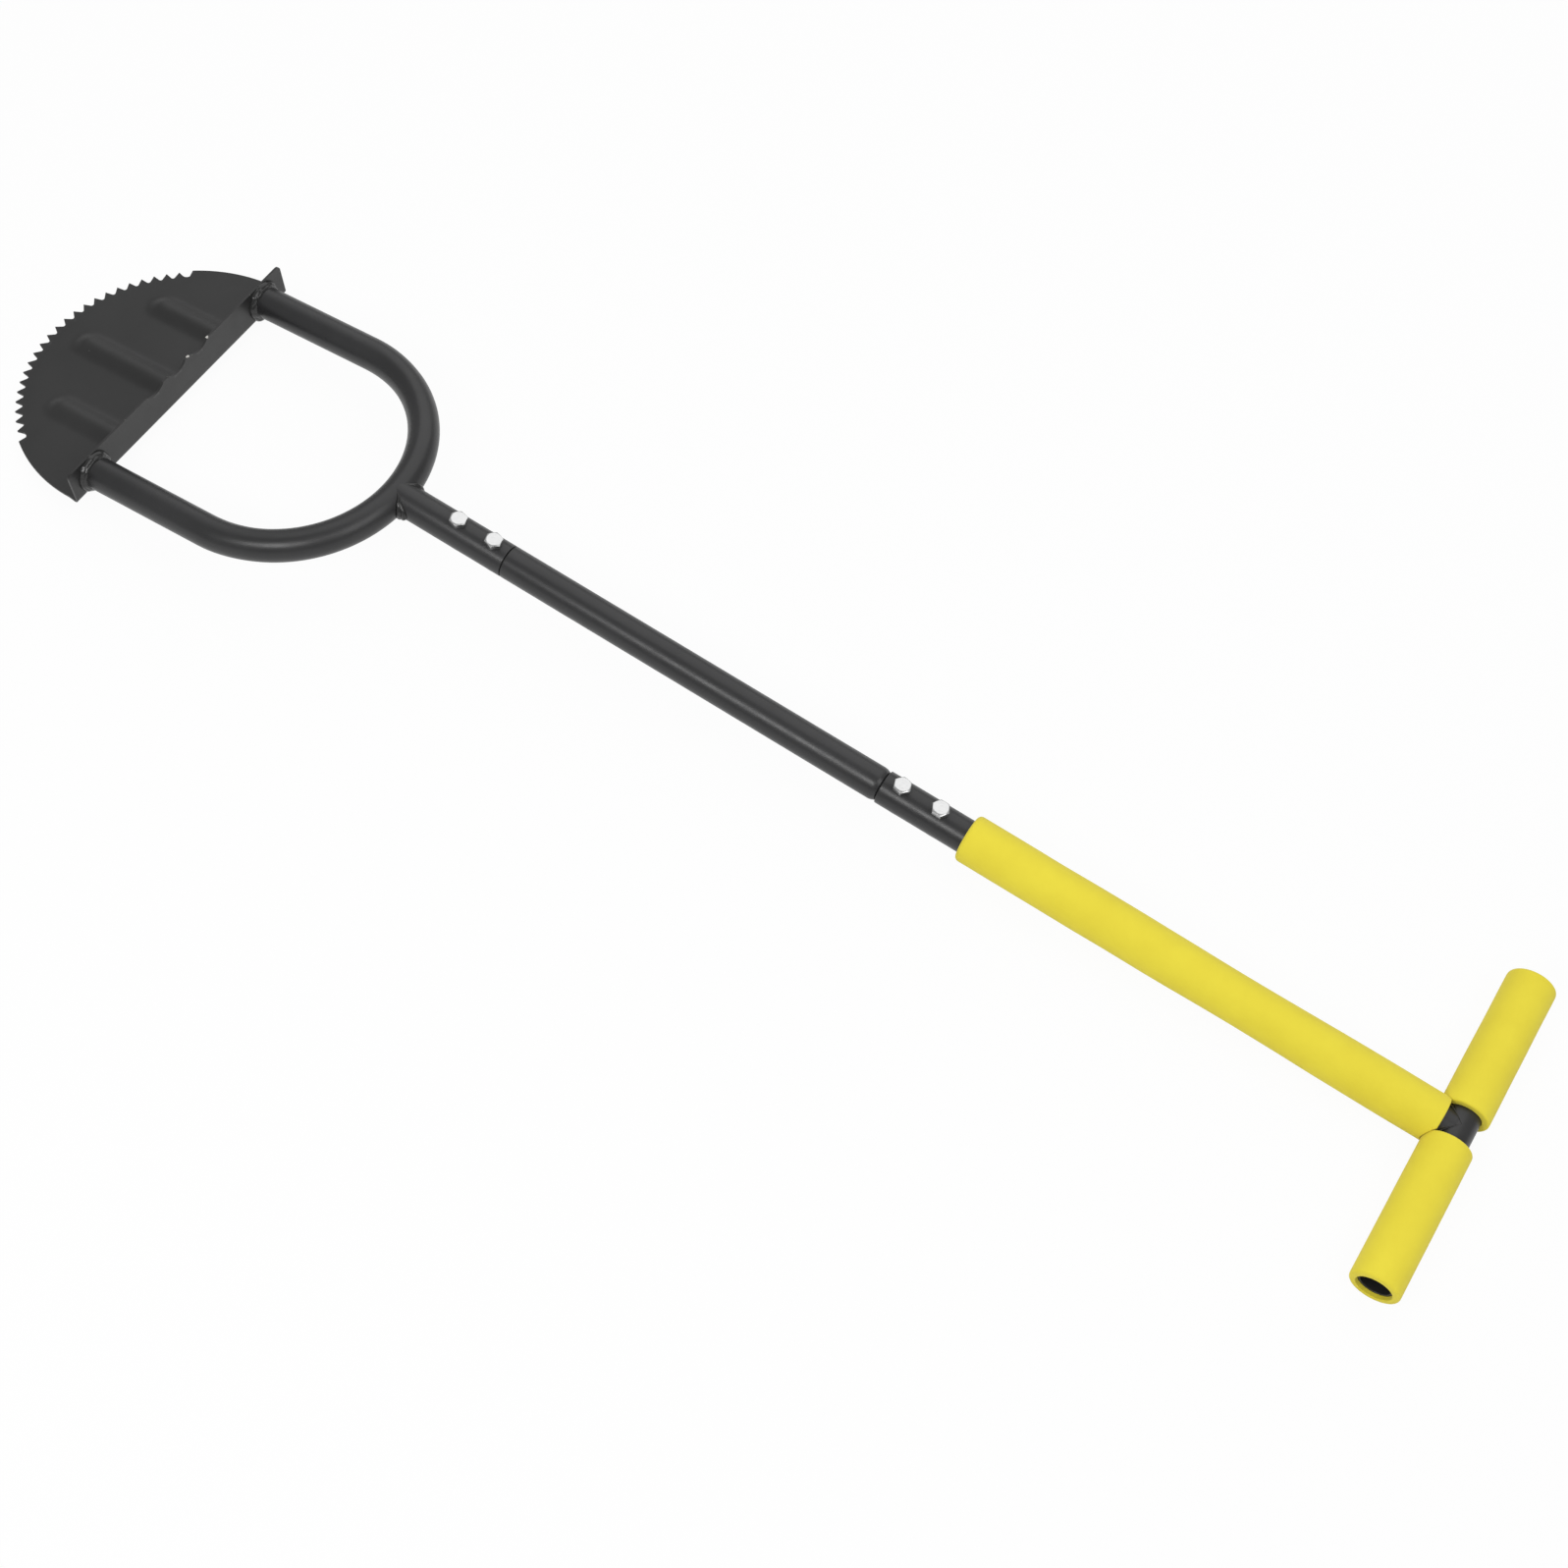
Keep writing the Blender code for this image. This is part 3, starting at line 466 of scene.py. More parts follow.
def pressed_blade():
    """The blank with its rounded edge, sliced, thickened, and bent to its finished shape."""
    shape = bmesh.new()
    depth_in = shape.verts.layers.float.new("edge")
    outline = [shape.verts.new((x, y, 0.0)) for x, y in BLANK]
    for vert in outline:
        vert[depth_in] = 0.0
    faces = [shape.faces.new(outline)]
    depth = 0.0
    known = set(outline)
    for thickness in EDGE_INSETS:
        depth += thickness
        bmesh.ops.inset_region(shape, faces=faces, thickness=thickness, use_even_offset=True,
                               use_boundary=True)
        for vert in shape.verts:
            if vert not in known:
                vert[depth_in] = depth
                known.add(vert)
    bottom = ARC_CENTRE_Y - BLADE_HALF_WIDTH
    for x in range(-LAST_CUT_MM, LAST_CUT_MM + 1, CELL_MM):
        cut_across(shape, (x * MM, 0.0, 0.0), (1.0, 0.0, 0.0))
    rows = [bottom + CELL_MM * MM * i for i in range(1, BLADE_ROWS + 1)]
    rows += [FOLD_START + FOLD_LENGTH * i / FOLD_ROWS for i in range(FOLD_ROWS + 1)]
    rows += [FOLD_START + FOLD_LENGTH + CELL_MM * MM * i for i in range(1, PLATE_ROWS + 1)]
    for y in rows:
        cut_across(shape, (0.0, y, 0.0), (0.0, 1.0, 0.0))
    made = bmesh.ops.extrude_face_region(shape, geom=shape.faces[:], use_keep_orig=True)
    upper = {item for item in made["geom"] if isinstance(item, bmesh.types.BMVert)}
    for vert in shape.verts:
        inset = min(vert[depth_in], EDGE_ROUNDING)
        drop = EDGE_ROUNDING - math.sqrt(EDGE_ROUNDING ** 2 - (EDGE_ROUNDING - inset) ** 2)
        above = (SHEET / 2 - drop) * (1 if vert in upper else -1)
        vert[depth_in] = max(0.0, 1.0 - vert[depth_in] / EDGE_WEAR)
        for place, size in KNOCKS:
            if math.hypot(vert.co.x - place, vert.co.y - BLANK_TOP) < size:
                vert[depth_in] = KNOCK_WEAR
        vert.co = press_and_fold(vert.co.x, vert.co.y, above)
    return shape


OFF_CENTRE = 0.6 * MM
jig_slip = Matrix.Translation((-OFF_CENTRE, 0.0, 0.0))
finish_piece("pressed_half_moon_blade", pressed_blade(), HEAD @ jig_slip, BLADE_COAT, ["half_moon_blade"])

# %% [markdown]
# ## The bow
#
# The bow is one length of 21 mm tube, bent round a former into a half circle with two straight arms. A
# circle of points is drawn at the end of one arm, pulled along it, spun half a turn round the centre of
# the bend, and pulled along the other arm: the same three moves as in the tube bender. A bent tube is
# never quite round. The bend draws its inner and outer walls together, so the bend is a little narrower
# in its own plane than the arms are.

# %% Bend the bow
BEND_NARROWS = 0.055
BEND_RUN_IN = 0.45 * BOW_RADIUS
RING_POINTS = 64
BEND_STEPS = 72
WELD_GAP = 0.1 * MM
ARM_STEP = 30.0 * MM


def pull_ring(shape, ring, lengths):
    """Extrudes a ring of edges along Y in steps, and gives back the last ring."""
    for length in lengths:
        pulled = bmesh.ops.extrude_edge_only(shape, edges=ring)["geom"]
        moved = [v for v in pulled if isinstance(v, bmesh.types.BMVert)]
        bmesh.ops.translate(shape, verts=moved, vec=(0.0, length, 0.0))
        ring = [e for e in pulled if isinstance(e, bmesh.types.BMEdge) and len(e.link_faces) == 1]
    return ring


def bent_bow():
    """A ring pulled up one arm, spun round the bend and pulled down the other arm."""
    shape = bmesh.new()
    upright = Matrix.Translation((BOW_RADIUS, WELD_GAP, 0.0)) @ Matrix.Rotation(math.pi / 2, 4, "X")
    bmesh.ops.create_circle(shape, segments=RING_POINTS, radius=TUBE_RADIUS, matrix=upright)
    steps = [ARM_STEP, ARM_STEP, ARM_LENGTH - 2 * ARM_STEP - WELD_GAP]
    ring = pull_ring(shape, shape.edges[:], steps)
    corners = list({v for e in ring for v in e.verts})
    spun = bmesh.ops.spin(shape, geom=corners + ring, cent=(0.0, ARM_LENGTH, 0.0), axis=(0.0, 0.0, 1.0),
                          angle=math.pi, steps=BEND_STEPS)
    ring = [e for e in spun["geom_last"] if isinstance(e, bmesh.types.BMEdge)]
    pull_ring(shape, ring, [-step for step in reversed(steps)])
    bmesh.ops.holes_fill(shape, edges=shape.edges[:], sides=RING_POINTS)
    for vert in shape.verts:
        x, y = vert.co.x, vert.co.y - ARM_LENGTH
        if y > 0.0:
            into_bend = min(1.0, y / BEND_RUN_IN)
            narrow = BEND_NARROWS * into_bend ** 2 * (3 - 2 * into_bend)
            reach = math.hypot(x, y)
            factor = (BOW_RADIUS + (reach - BOW_RADIUS) * (1 - narrow)) / reach
            vert.co.x, vert.co.y = x * factor, ARM_LENGTH + y * factor
    return shape


finish_piece("bent_tube_bow", bent_bow(), HEAD, TUBE_COAT, ["bow"])

# %% [markdown]
# ## Weld beads
#
# Each joint is closed by a bead that the welder lays into the corner in small overlapping pools, so its
# surface has ripples like a stack of coins, and its width wanders. The section of a bead is a quarter
# round with its root in the corner. It is spun a full turn round the tube, and then every ring of it is
# moved along the tube to where the two surfaces meet, and swells and shrinks with the pools. Each arm of
# the bow gets two passes, a wide one on the step plate and a narrow one that covers its upper edge.

# %% Helper for a bead, and the two beads on the step plate
BEAD_ROOT = TUBE_RADIUS - 0.3 * MM
BEAD_STEPS = 240
BEAD_FOOT = (-0.15, -0.30)
BEAD_ARC = range(-24, 115, 12)
POOL_LAG = 0.7
POOL_SWELL, SLOW_SWELL, FAST_SWELL = 0.04, 0.26, 0.05


def weld_bead(size, rise, ripples, seed):
    """A bead round the Z axis; size is its radius in mm, and rise its root's height, at an angle."""
    arc = [(math.cos(math.radians(a)), math.sin(math.radians(a))) for a in BEAD_ARC]
    section = [BEAD_FOOT] + [(r, max(z, BEAD_FOOT[1])) for r, z in arc]
    shape = turned([(BEAD_ROOT + r * MM, z * MM) for r, z in section], BEAD_STEPS)
    for vert in shape.verts:
        angle = math.atan2(vert.co.y, vert.co.x)
        across = (math.hypot(vert.co.x, vert.co.y) - BEAD_ROOT) / MM
        along = vert.co.z / MM
        slow = noise.noise(Vector((math.cos(angle) * 2.0, math.sin(angle) * 2.0, seed)))
        fast = noise.noise(Vector((math.cos(angle) * 5.0, math.sin(angle) * 5.0, seed + 2.0 * along)))
        lag = POOL_LAG * math.sin(2.0 * math.atan2(along, across))
        pool = abs(math.sin(angle * ripples / 2 + 2.0 * slow + lag))
        wander = 1.0 - POOL_SWELL + POOL_SWELL * pool + SLOW_SWELL * slow + FAST_SWELL * fast
        swell = size(angle) * MM * wander
        radius = BEAD_ROOT + across * swell
        vert.co = (radius * math.cos(angle), radius * math.sin(angle), rise(angle) + along * swell)
    return shape


WIDE_PASS, NARROW_PASS = 3.5, 1.9
WIDE_RISE, NARROW_RISE = -0.2 * MM, 2.1 * MM
for side, name in SIDES:
    first = weld_bead(lambda angle: WIDE_PASS, lambda angle: WIDE_RISE, ripples=14, seed=3.0 + 2.0 * side)
    second = weld_bead(lambda angle: NARROW_PASS, lambda angle: NARROW_RISE, ripples=16,
                       seed=8.0 + 2.0 * side)
    bead = join_shapes(first, second)
    place = HEAD @ Matrix.Translation((side * BOW_RADIUS, 0.0, 0.0)) @ Matrix.Rotation(-math.pi / 2, 4, "X")
    finish_piece(name + "_arm_bead", bead, place, WELD_COAT, [name + "_arm_weld"])

# %% [markdown]
# ## The neck
#
# The handle's first piece is a socket: a short tube whose end is cut to sit on the bow's bend, and welded
# there. The bead climbs over the bow where the tubes cross, so its height follows the saddle curve. For
# two tubes of one size the corner between them is deep at the sides and fades out on top and below, and
# so does the bead. The welder made two passes: a wide one in the corner, and a narrow one up the socket.

# %% The neck's bead
NECK_SEARCH = (-2.0 * MM, 20.0 * MM)
HALVINGS = 24
CORNER_FADE = 2.2


def neck_rise(angle):
    """Height along the handle at which its surface meets the bow's."""
    across, up = TUBE_RADIUS * math.cos(angle), -TUBE_RADIUS * math.sin(angle)
    low, high = NECK_SEARCH
    for _ in range(HALVINGS):
        along = (low + high) / 2
        y = BOW_RADIUS + along * math.cos(CRANK) + up * math.sin(CRANK)
        z = up * math.cos(CRANK) - along * math.sin(CRANK)
        inside = math.hypot(math.hypot(across, y) - BOW_RADIUS, z) < TUBE_RADIUS
        low, high = (along, high) if inside else (low, along)
    return low


def side_share(angle):
    """1 at the two sides of the handle, and 0 on top and below, where the corner fades out."""
    return abs(math.cos(angle)) ** CORNER_FADE


def second_share(angle):
    """The second pass is full on one side of the neck and thin on the other."""
    return side_share(angle) * (0.72 + 0.28 * math.cos(angle))


first = weld_bead(lambda angle: 0.2 + 2.7 * side_share(angle), neck_rise, ripples=12, seed=7.0)
second = weld_bead(lambda angle: 0.2 + 2.1 * second_share(angle),
                   lambda angle: neck_rise(angle) + 3.2 * MM * second_share(angle), ripples=14, seed=12.0)
bead = join_shapes(first, second)
finish_piece("neck_bead", bead, HANDLE, WELD_COAT, ["neck_weld"])

# %% [markdown]
# ## The handle's tubes
#
# The middle tube has its two ends drawn down to slip into the neck socket and into the grip tube, and two
# bolts cross each joint. A tube is a turned shape, so each is a profile spun round the handle's axis. The
# sizes come from the tube maker: 21 mm outside with a wall of 1.5 mm. The lower joint closes to a hair
# line, and the upper one shows the rounded shoulder where the tube was drawn down.

# %% Turn the three tubes
SOCKET_START = 1.5 * MM
SOCKET_END = 83.2 * MM
UPPER_SEAM = 350.9 * MM
INNER = TUBE_RADIUS - TUBE_WALL
SPIGOT = INNER - 0.3 * MM
SPIGOT_LENGTH = 50.0 * MM
BAR_SADDLE = HANDLE_LENGTH - 3.0 * MM
SHOULDER_LENGTH = 2.6 * MM
SHOULDER_DROP = 1.1 * MM

socket = turned(eased([(TUBE_RADIUS, SOCKET_START, 0.0), (TUBE_RADIUS, SOCKET_END, 0.35 * MM),
                       (INNER, SOCKET_END, 0.3 * MM), (INNER, SOCKET_START, 0.0)]))
finish_piece("neck_socket_tube", socket, HANDLE, TUBE_COAT, ["neck_socket"])

low, top = SOCKET_END + 0.6 * MM, UPPER_SEAM - 0.8 * MM
low_tip, top_tip = low - SPIGOT_LENGTH, top + SPIGOT_LENGTH
middle = turned(eased([
    (SPIGOT, low_tip, 0.4 * MM), (SPIGOT, low + 0.3 * MM, 0.0), (TUBE_RADIUS, low, 0.5 * MM),
    (TUBE_RADIUS, top - SHOULDER_LENGTH, 1.6 * MM), (TUBE_RADIUS - SHOULDER_DROP, top, 0.5 * MM),
    (SPIGOT, top + 0.5 * MM, 0.3 * MM), (SPIGOT, top_tip, 0.4 * MM),
    (SPIGOT - TUBE_WALL, top_tip, 0.3 * MM), (SPIGOT - TUBE_WALL, low_tip, 0.3 * MM)], 8))
finish_piece("middle_tube", middle, HANDLE, TUBE_COAT, ["middle_shaft"])

upper = turned(eased([(TUBE_RADIUS, UPPER_SEAM, 0.5 * MM), (TUBE_RADIUS, BAR_SADDLE, 0.0),
                      (INNER, BAR_SADDLE, 0.0), (INNER, UPPER_SEAM, 0.3 * MM)]))
finish_piece("grip_tube", upper, HANDLE, TUBE_COAT, ["grip_shaft"])

# %% [markdown]
# ## The cross bar
#
# A short tube across the end of the handle carries the two hand grips. Its ends are open and stand a
# little inside the foam, so that its dark bore shows there. The bead that holds it is small, and mostly
# hidden by the sleeves.

# %% Turn the cross bar and lay its bead
BAR_HALF = 105.5 * MM
bar = turned(eased([(TUBE_RADIUS, -BAR_HALF, 0.4 * MM), (INNER, -BAR_HALF, 0.4 * MM),
                    (INNER, BAR_HALF, 0.4 * MM), (TUBE_RADIUS, BAR_HALF, 0.4 * MM)]))
finish_piece("cross_bar_tube", bar, BAR, TUBE_COAT, ["cross_bar"])


def bar_rise(angle):
    """Height along the handle at which a bead turned over meets the cross bar."""
    return HANDLE_LENGTH - TUBE_RADIUS * abs(math.cos(angle)) - 0.2 * MM


bead = weld_bead(lambda angle: 0.45 + 1.6 * side_share(angle), lambda angle: 0.0, ripples=20, seed=11.0)
for vert in bead.verts:
    vert.co.z = bar_rise(math.atan2(vert.co.y, vert.co.x)) - vert.co.z
finish_piece("cross_bar_bead", bead, HANDLE, WELD_COAT, ["cross_bar_weld"])

# %% [markdown]
# ## Foam grips
#
# Each grip is a thick foam tube cut to length, a little soft at its cut corners. It grips the steel, so
# it is never quite straight or quite round: slow swells of a tenth of a millimetre or two run along it,
# and the long sleeve was stretched when it was pulled on, which leaves it with a slight waist.
#
# At the end of the handle the long sleeve is pushed against the cross bar, and the two hand grips press
# its sides back, so that the three meet in a snug saddle. The sleeve's last stretch is squeezed by
# shortening it towards the place where it meets the bar, or at its sides the grips, with a smooth change
# between the two.

# %% Helpers for foam
SOFT_DEPTH = 2.0 * MM
SWELL_ACROSS = 18 * MM
SWELL_ALONG = 30 * MM
WAIST_SPREAD = 45 * MM
FOAM_STEPS = 96
CORNER_PARTS = 7


def slice_along(shape, start, end, pitch):
    """Cuts a turned shape across its axis, so that it can swell and bend."""
    count = int((end - start) / pitch)
    for i in range(1, count):
        cut_across(shape, (0.0, 0.0, start + (end - start) * i / count), (0.0, 0.0, 1.0))


def swell_foam(shape, bore, amount, seed, waist=0.0, waist_place=0.0):
    """Moves the outer skin in and out by slow noise, and leaves the bore alone."""
    for vert in shape.verts:
        radius = math.hypot(vert.co.x, vert.co.y)
        share = min(1.0, max(0.0, (radius - bore) / SOFT_DEPTH))
        spot = Vector((vert.co.x / SWELL_ACROSS, vert.co.y / SWELL_ACROSS, vert.co.z / SWELL_ALONG + seed))
        drawn_in = waist * math.exp(-((vert.co.z - waist_place) / WAIST_SPREAD) ** 2)
        factor = 1.0 + share * (amount * (noise.noise(spot) - 0.5) - drawn_in) / radius
        vert.co.x *= factor
        vert.co.y *= factor


BORE = TUBE_RADIUS + 0.15 * MM
BAR_GAP, GRIP_GAP = 0.3 * MM, 0.2 * MM
LONG_START, LONG_END = 408.0 * MM, HANDLE_LENGTH - TUBE_RADIUS - BAR_GAP
FOAM_SLICE = 4.0 * MM
SQUEEZED = 45.0 * MM
BAR_SIDE, GRIP_SIDE = 9.4 * MM, 10.6 * MM
sleeve = turned(eased([(BORE, LONG_START, 0.4 * MM), (GRIP_RADIUS, LONG_START, 3.4 * MM),
                       (GRIP_RADIUS, LONG_END, 1.0 * MM), (BORE, LONG_END, 0.3 * MM)], CORNER_PARTS),
                FOAM_STEPS)
slice_along(sleeve, LONG_START + 4.0 * MM, LONG_END - 2.0 * MM, FOAM_SLICE)
swell_foam(sleeve, BORE, 0.2 * MM, 1.0, waist=0.65 * MM, waist_place=590.0 * MM)
for vert in sleeve.verts:
    side = min(1.0, max(0.0, (abs(vert.co.x) - BAR_SIDE) / (GRIP_SIDE - BAR_SIDE)))
    blend = side * side * (3 - 2 * side)
    blocker = (TUBE_RADIUS + BAR_GAP) * (1 - blend) + (GRIP_RADIUS + GRIP_GAP) * blend
    limit = HANDLE_LENGTH - math.sqrt(max(0.0, blocker ** 2 - vert.co.y ** 2))
    squeeze = min(1.0, max(0.0, (vert.co.z - (LONG_END - SQUEEZED)) / SQUEEZED)) ** 3
    vert.co.z -= squeeze * max(0.0, LONG_END - limit)
long_grip = finish_piece("long_foam_sleeve", sleeve, HANDLE, FOAM, ["long_grip_sleeve"])

# %% The two hand grips
GRIP_INNER, GRIP_OUTER = 10.6 * MM, 108.0 * MM
for side, name in SIDES:
    grip = turned(eased([(BORE, GRIP_INNER, 0.4 * MM), (GRIP_RADIUS, GRIP_INNER, 1.6 * MM),
                         (GRIP_RADIUS, GRIP_OUTER, 2.4 * MM), (BORE, GRIP_OUTER, 0.5 * MM)],
                        CORNER_PARTS), FOAM_STEPS)
    slice_along(grip, GRIP_INNER + 3.0 * MM, GRIP_OUTER - 4.0 * MM, FOAM_SLICE)
    swell_foam(grip, BORE, 0.15 * MM, 5.0 + side)
    place = BAR @ Matrix.Rotation(math.pi if side < 0 else 0.0, 4, "Y")
    piece = finish_piece(name + "_foam_grip", grip, place, FOAM, [name + "_grip_sleeve"])

# %% [markdown]
# ## Bolts and nuts
#
# Four M6 bolts cross the handle, heads up and thin nuts below. A hexagonal head is turned from round first:
# its profile is spun, and its side is then pushed out to the flats and corners of a hexagon. The chamfer
# on top is a cone, so the corners, which reach further out, end lower than the flats, and that gives the
# curved edges that every real hexagon head has. The forging die leaves a shallow dish and a ring in the
# middle of the head.

# %% Helper for hexagons
HEX_FLAT = 5.0 * MM
HEX_FACE = 4.5 * MM
CHAMFER = math.tan(math.radians(30))
CHAMFER_DEPTH = 0.6 * MM
ON_SIDE = HEX_FLAT - 0.1 * MM


def hexagonal(profile, chamfered, closed):
    """A turned blank with its side pushed out to a hexagon; chamfered lists the faces' heights."""
    shape = turned(profile, closed=closed)
    for vert in shape.verts:
        radius = math.hypot(vert.co.x, vert.co.y)
        if radius < ON_SIDE:
            continue
        angle = math.atan2(vert.co.y, vert.co.x)
        turn = (angle + math.pi / 6) % (math.pi / 3) - math.pi / 6
        reach = radius / math.cos(turn)
        vert.co.x, vert.co.y = reach * math.cos(angle), reach * math.sin(angle)
        for height, direction in chamfered:
            if abs(vert.co.z - height) < CHAMFER_DEPTH:
                vert.co.z -= direction * (reach - HEX_FACE) * CHAMFER
    return shape


# %% [markdown]
# The thread is the one helical shape here. One pitch of its profile is spun round the axis while it also
# moves along it, which is what the spin operator's dvec is for; each turn ends where the next one starts.
#
# Each bolt is listed with its place along the handle in millimetres and the turn of its head in degrees.

# %% Bolts and nuts
THREAD_STEPS = 36


def thread(radius, depth, pitch, start, turns):
    """A right-hand thread round the Z axis."""
    shape = bmesh.new()
    root = radius - depth
    profile = [(root, 0.0), (root, 0.12), (radius, 0.44), (radius, 0.56), (root, 0.88), (root, 1.0)]
    verts = [shape.verts.new((r, 0.0, start + z * pitch)) for r, z in profile]
    edges = [shape.edges.new(pair) for pair in zip(verts, verts[1:])]
    bmesh.ops.spin(shape, geom=verts + edges, cent=(0.0, 0.0, 0.0), axis=(0.0, 0.0, 1.0),
                   angle=math.tau * turns, steps=THREAD_STEPS * turns,
                   dvec=(0.0, 0.0, pitch / THREAD_STEPS))
    return shape


BOLTS = {"lower_joint": ((46.5, -12), (72.5, -16)), "upper_joint": ((362.0, -11), (388.0, -2))}
HEAD_LOW = TUBE_RADIUS + 0.1 * MM
HEAD_TOP = HEAD_LOW + 4.1 * MM
NUT_TOP = -TUBE_RADIUS - 0.15 * MM
NUT_LOW = NUT_TOP - 3.2 * MM
SHANK_END = HEAD_LOW - 24.8 * MM
SHANK = 2.65 * MM
NUT_BORE = 2.7 * MM
NUT_LIP = 3.2 * MM
ACROSS = Matrix.Rotation(math.pi / 2, 4, "X")
for joint, bolts in BOLTS.items():
    for number, (place_mm, degrees) in enumerate(bolts, start=1):
        upright = HANDLE @ Matrix.Translation((0.0, 0.0, place_mm * MM)) @ ACROSS
        spun = upright @ Matrix.Rotation(math.radians(degrees), 4, "Z")
        profile = [(0.0, HEAD_TOP - 0.04 * MM), (1.0 * MM, HEAD_TOP - 0.14 * MM), (1.5 * MM, HEAD_TOP),
                   (2.3 * MM, HEAD_TOP), (2.7 * MM, HEAD_TOP - 0.12 * MM), (3.1 * MM, HEAD_TOP),
                   (HEX_FACE, HEAD_TOP), (HEX_FLAT, HEAD_TOP),
                   (HEX_FLAT, HEAD_LOW + 0.3 * MM), (4.7 * MM, HEAD_LOW), (SHANK, HEAD_LOW),
                   (SHANK, SHANK_END + 0.4 * MM), (2.2 * MM, SHANK_END), (0.0, SHANK_END)]
        bolt = hexagonal(profile, chamfered=[(HEAD_TOP, 1)], closed=False)
        screw = thread(radius=3.0 * MM, depth=0.5 * MM, pitch=1.0 * MM, start=SHANK_END + 0.2 * MM, turns=4)
        finish_piece(f"{joint}_hex_bolt_{number}", join_shapes(bolt, screw), spun, ZINC,
                     [f"{joint}_bolt_{number}"])

        profile = [(NUT_BORE, NUT_TOP), (NUT_LIP, NUT_TOP), (HEX_FACE, NUT_TOP),
                   (HEX_FLAT, NUT_TOP), (HEX_FLAT, NUT_LOW), (HEX_FACE, NUT_LOW), (NUT_LIP, NUT_LOW),
                   (NUT_BORE, NUT_LOW + 0.5 * MM)]
        nut = hexagonal(profile, chamfered=[(NUT_TOP, 1), (NUT_LOW, -1)], closed=True)
        finish_piece(f"{joint}_hex_nut_{number}", nut, upright, ZINC, [f"{joint}_nut_{number}"])

# %% [markdown]
# ## Floor, light and camera
#
# The tool lies on a pale floor in a bright studio: white all round, a large panel on the left, a key lamp
# beyond the grips, and a small panel at the side whose reflection draws the soft bright line along each
# tube. The floor is a pale matte paint. To the camera and to reflections most of it is a plain white glow,
# so that it reads as a white background, and the rest still takes the tool's soft shadow.

# %% Floor and world
FLOOR_GLOW = 0.95
FLOOR_IN_REFLECTIONS = 0.95
FLOOR_REACH = 30.0
FLOOR_BELOW = 0.3 * MM
WORLD_LIGHT = 0.42


def pale_floor():
    """Matte paint that reads as white to the camera, and as a softer white in the tool's reflections."""
    material, tree, shader, _ = new_material("pale_matte_floor_paint")
    shader.inputs["Base Color"].default_value = linear("#e6e6e6")
    shader.inputs["Roughness"].default_value = 0.9
    shader.inputs["Specular IOR Level"].default_value = 0.2
    rays = add_node(tree, "LightPath")
    seen = add_node(tree, "Math", {0: rays.outputs["Is Camera Ray"], 1: rays.outputs["Is Glossy Ray"]},
                    operation="MAXIMUM")
    share = add_node(tree, "Math", {0: seen.outputs["Value"], 1: FLOOR_GLOW}, operation="MULTIPLY")
    level = add_node(tree, "Math", {0: rays.outputs["Is Glossy Ray"], 1: FLOOR_IN_REFLECTIONS - 1.0,
                                    2: 1.0}, operation="MULTIPLY_ADD")
    glow = add_node(tree, "Emission", {"Color": (1.0, 1.0, 1.0, 1.0), "Strength": level.outputs["Value"]})
    mixed = add_node(tree, "MixShader", {0: share.outputs["Value"], 1: shader.outputs["BSDF"],
                                         2: glow.outputs["Emission"]})
    output = next(n for n in tree.nodes if n.type == "OUTPUT_MATERIAL")
    tree.links.new(mixed.outputs["Shader"], output.inputs["Surface"])
    return material


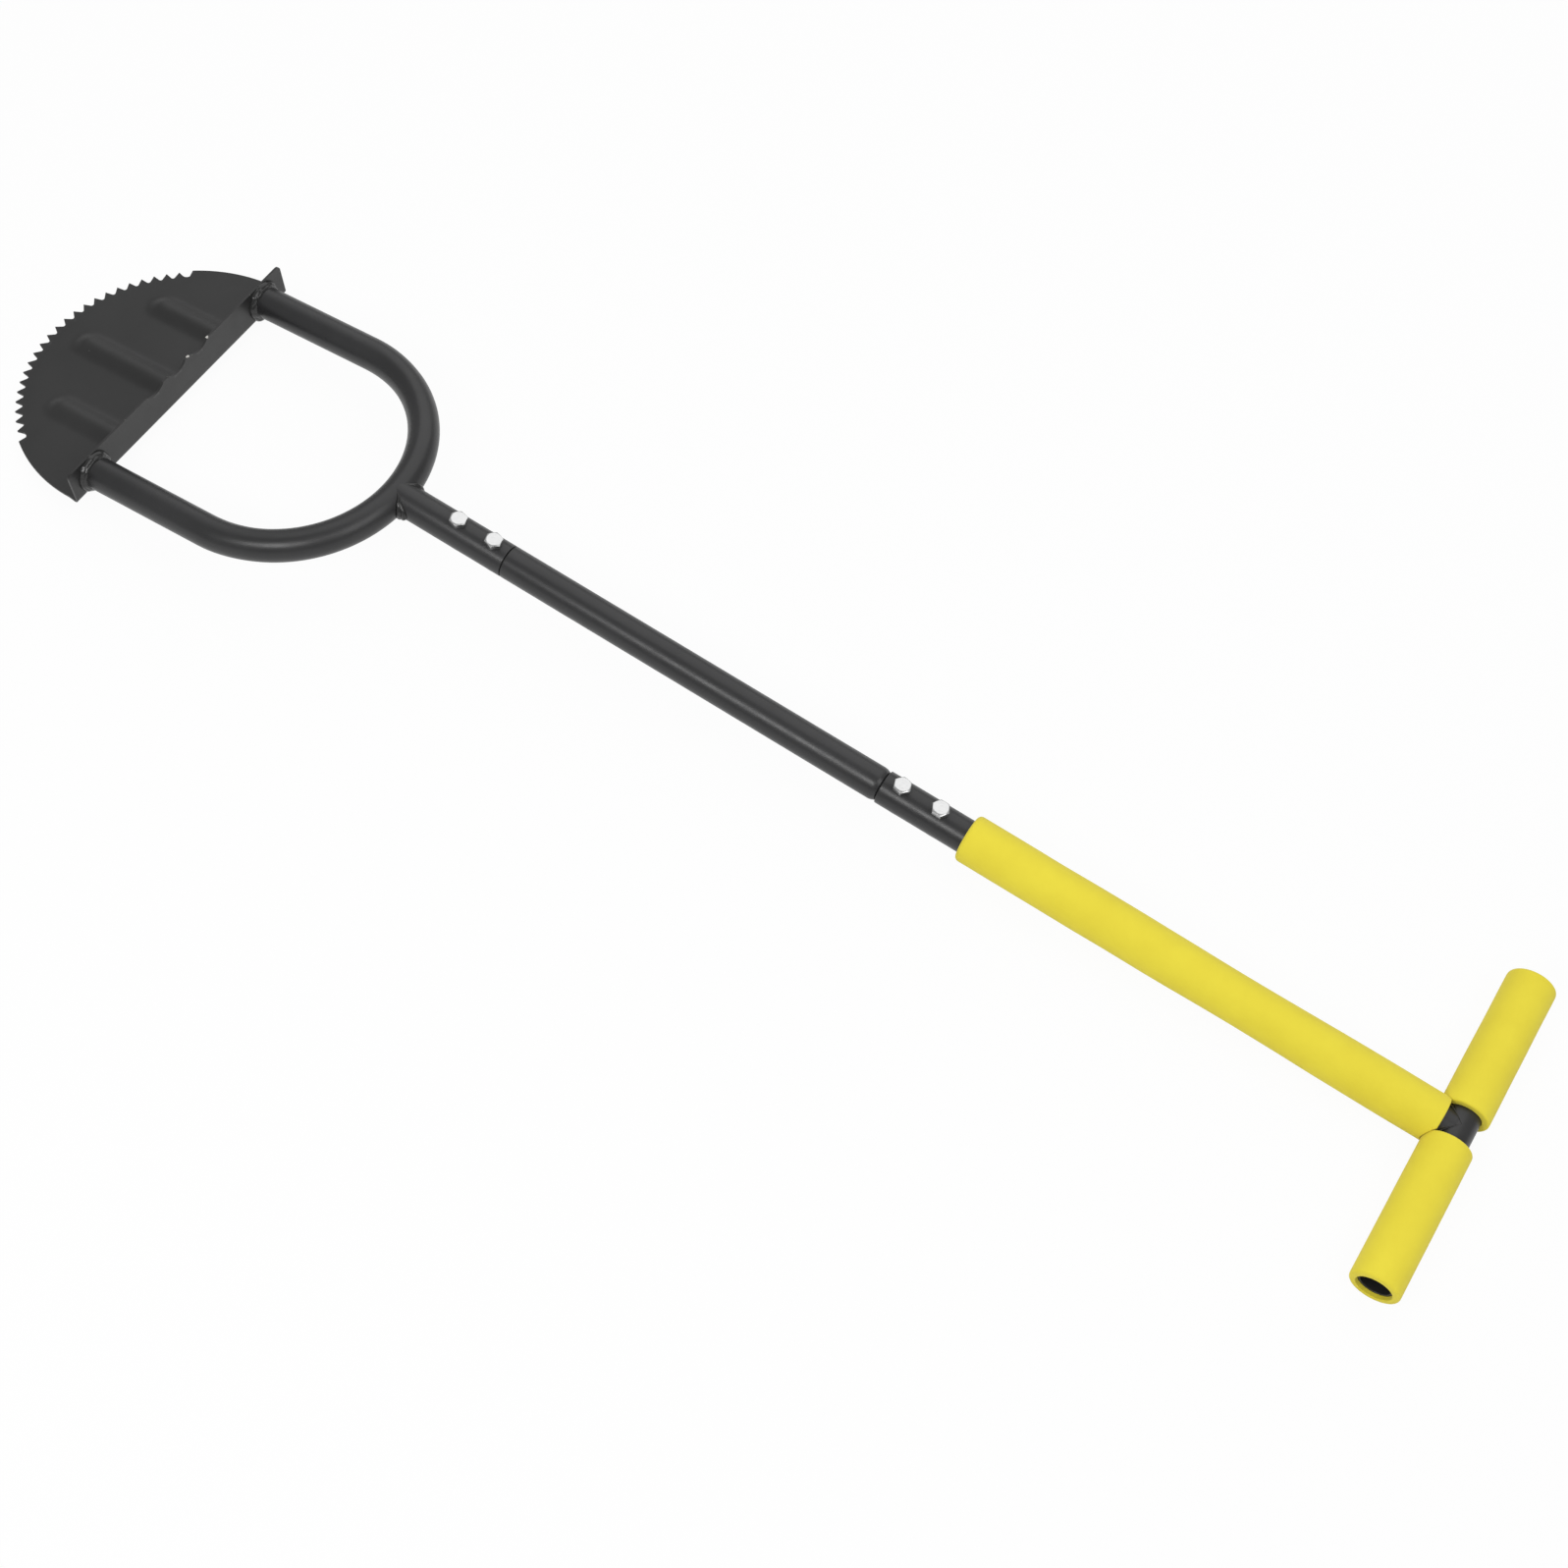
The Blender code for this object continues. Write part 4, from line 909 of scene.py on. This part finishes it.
sheet = bmesh.new()
bmesh.ops.create_grid(sheet, x_segments=1, y_segments=1, size=FLOOR_REACH,
                      matrix=Matrix.Translation((0.0, 0.0, -FLOOR_BELOW)))
floor_mesh = bpy.data.meshes.new("floor")
sheet.to_mesh(floor_mesh)
sheet.free()
floor_mesh.materials.append(pale_floor())
floor = bpy.data.objects.new("floor", floor_mesh)
bpy.context.scene.collection.objects.link(floor)

world = bpy.data.worlds.new("studio")
bpy.context.scene.world = world
world.use_nodes = True
air = world.node_tree.nodes["Background"]
air.inputs["Color"].default_value = (1.0, 1.0, 1.0, 1.0)
air.inputs["Strength"].default_value = WORLD_LIGHT
print("floor at", round(floor_mesh.vertices[0].co.z / MM, 2), "mm")

# %% Lamps
def panel(name, centre, towards, width, depth, power):
    """A soft rectangular lamp, facing a point."""
    lamp = bpy.data.lights.new(name, "AREA")
    lamp.shape = "RECTANGLE"
    lamp.size = width
    lamp.size_y = depth
    lamp.energy = power
    holder = bpy.data.objects.new(name, lamp)
    bpy.context.scene.collection.objects.link(holder)
    aim = Vector(towards) - Vector(centre)
    holder.matrix_world = Matrix.Translation(centre) @ aim.to_track_quat("-Z", "Y").to_matrix().to_4x4()
    print(name, "at", centre, "size", width, depth, "power", power)


panel("left_panel", (-1.5, -0.5, 1.9), (0.0, -0.1, 0.0), width=3.2, depth=2.9, power=24.5)
panel("key_panel", (0.3, 1.7, 2.0), (0.0, 0.1, 0.0), width=1.6, depth=1.6, power=15.5)
panel("side_strip", (0.95, -0.1, 1.02), (0.0, -0.1, 0.0), width=0.8, depth=0.4, power=6.6)

# %% [markdown]
# The camera's place, turn and lens come from fitting the tool's own edges and details to where they lie in
# the photograph, whose frame is square.

# %% Camera
camera_data = bpy.data.cameras.new("camera")
camera_data.sensor_width = 36.0
camera_data.sensor_fit = "HORIZONTAL"
camera_data.lens = 55.126
camera_data.clip_start = 0.05
camera_data.clip_end = 50.0
camera = bpy.data.objects.new("camera", camera_data)
bpy.context.scene.collection.objects.link(camera)
camera.location = (0.65022, 0.36251, 1.25218)
camera.rotation_euler = [math.radians(v) for v in (28.9669, -3.8611, 122.2473)]
bpy.context.scene.camera = camera
bpy.context.scene.view_settings.view_transform = "Standard"
print("camera", [round(v, 3) for v in camera.location], "lens", camera_data.lens)
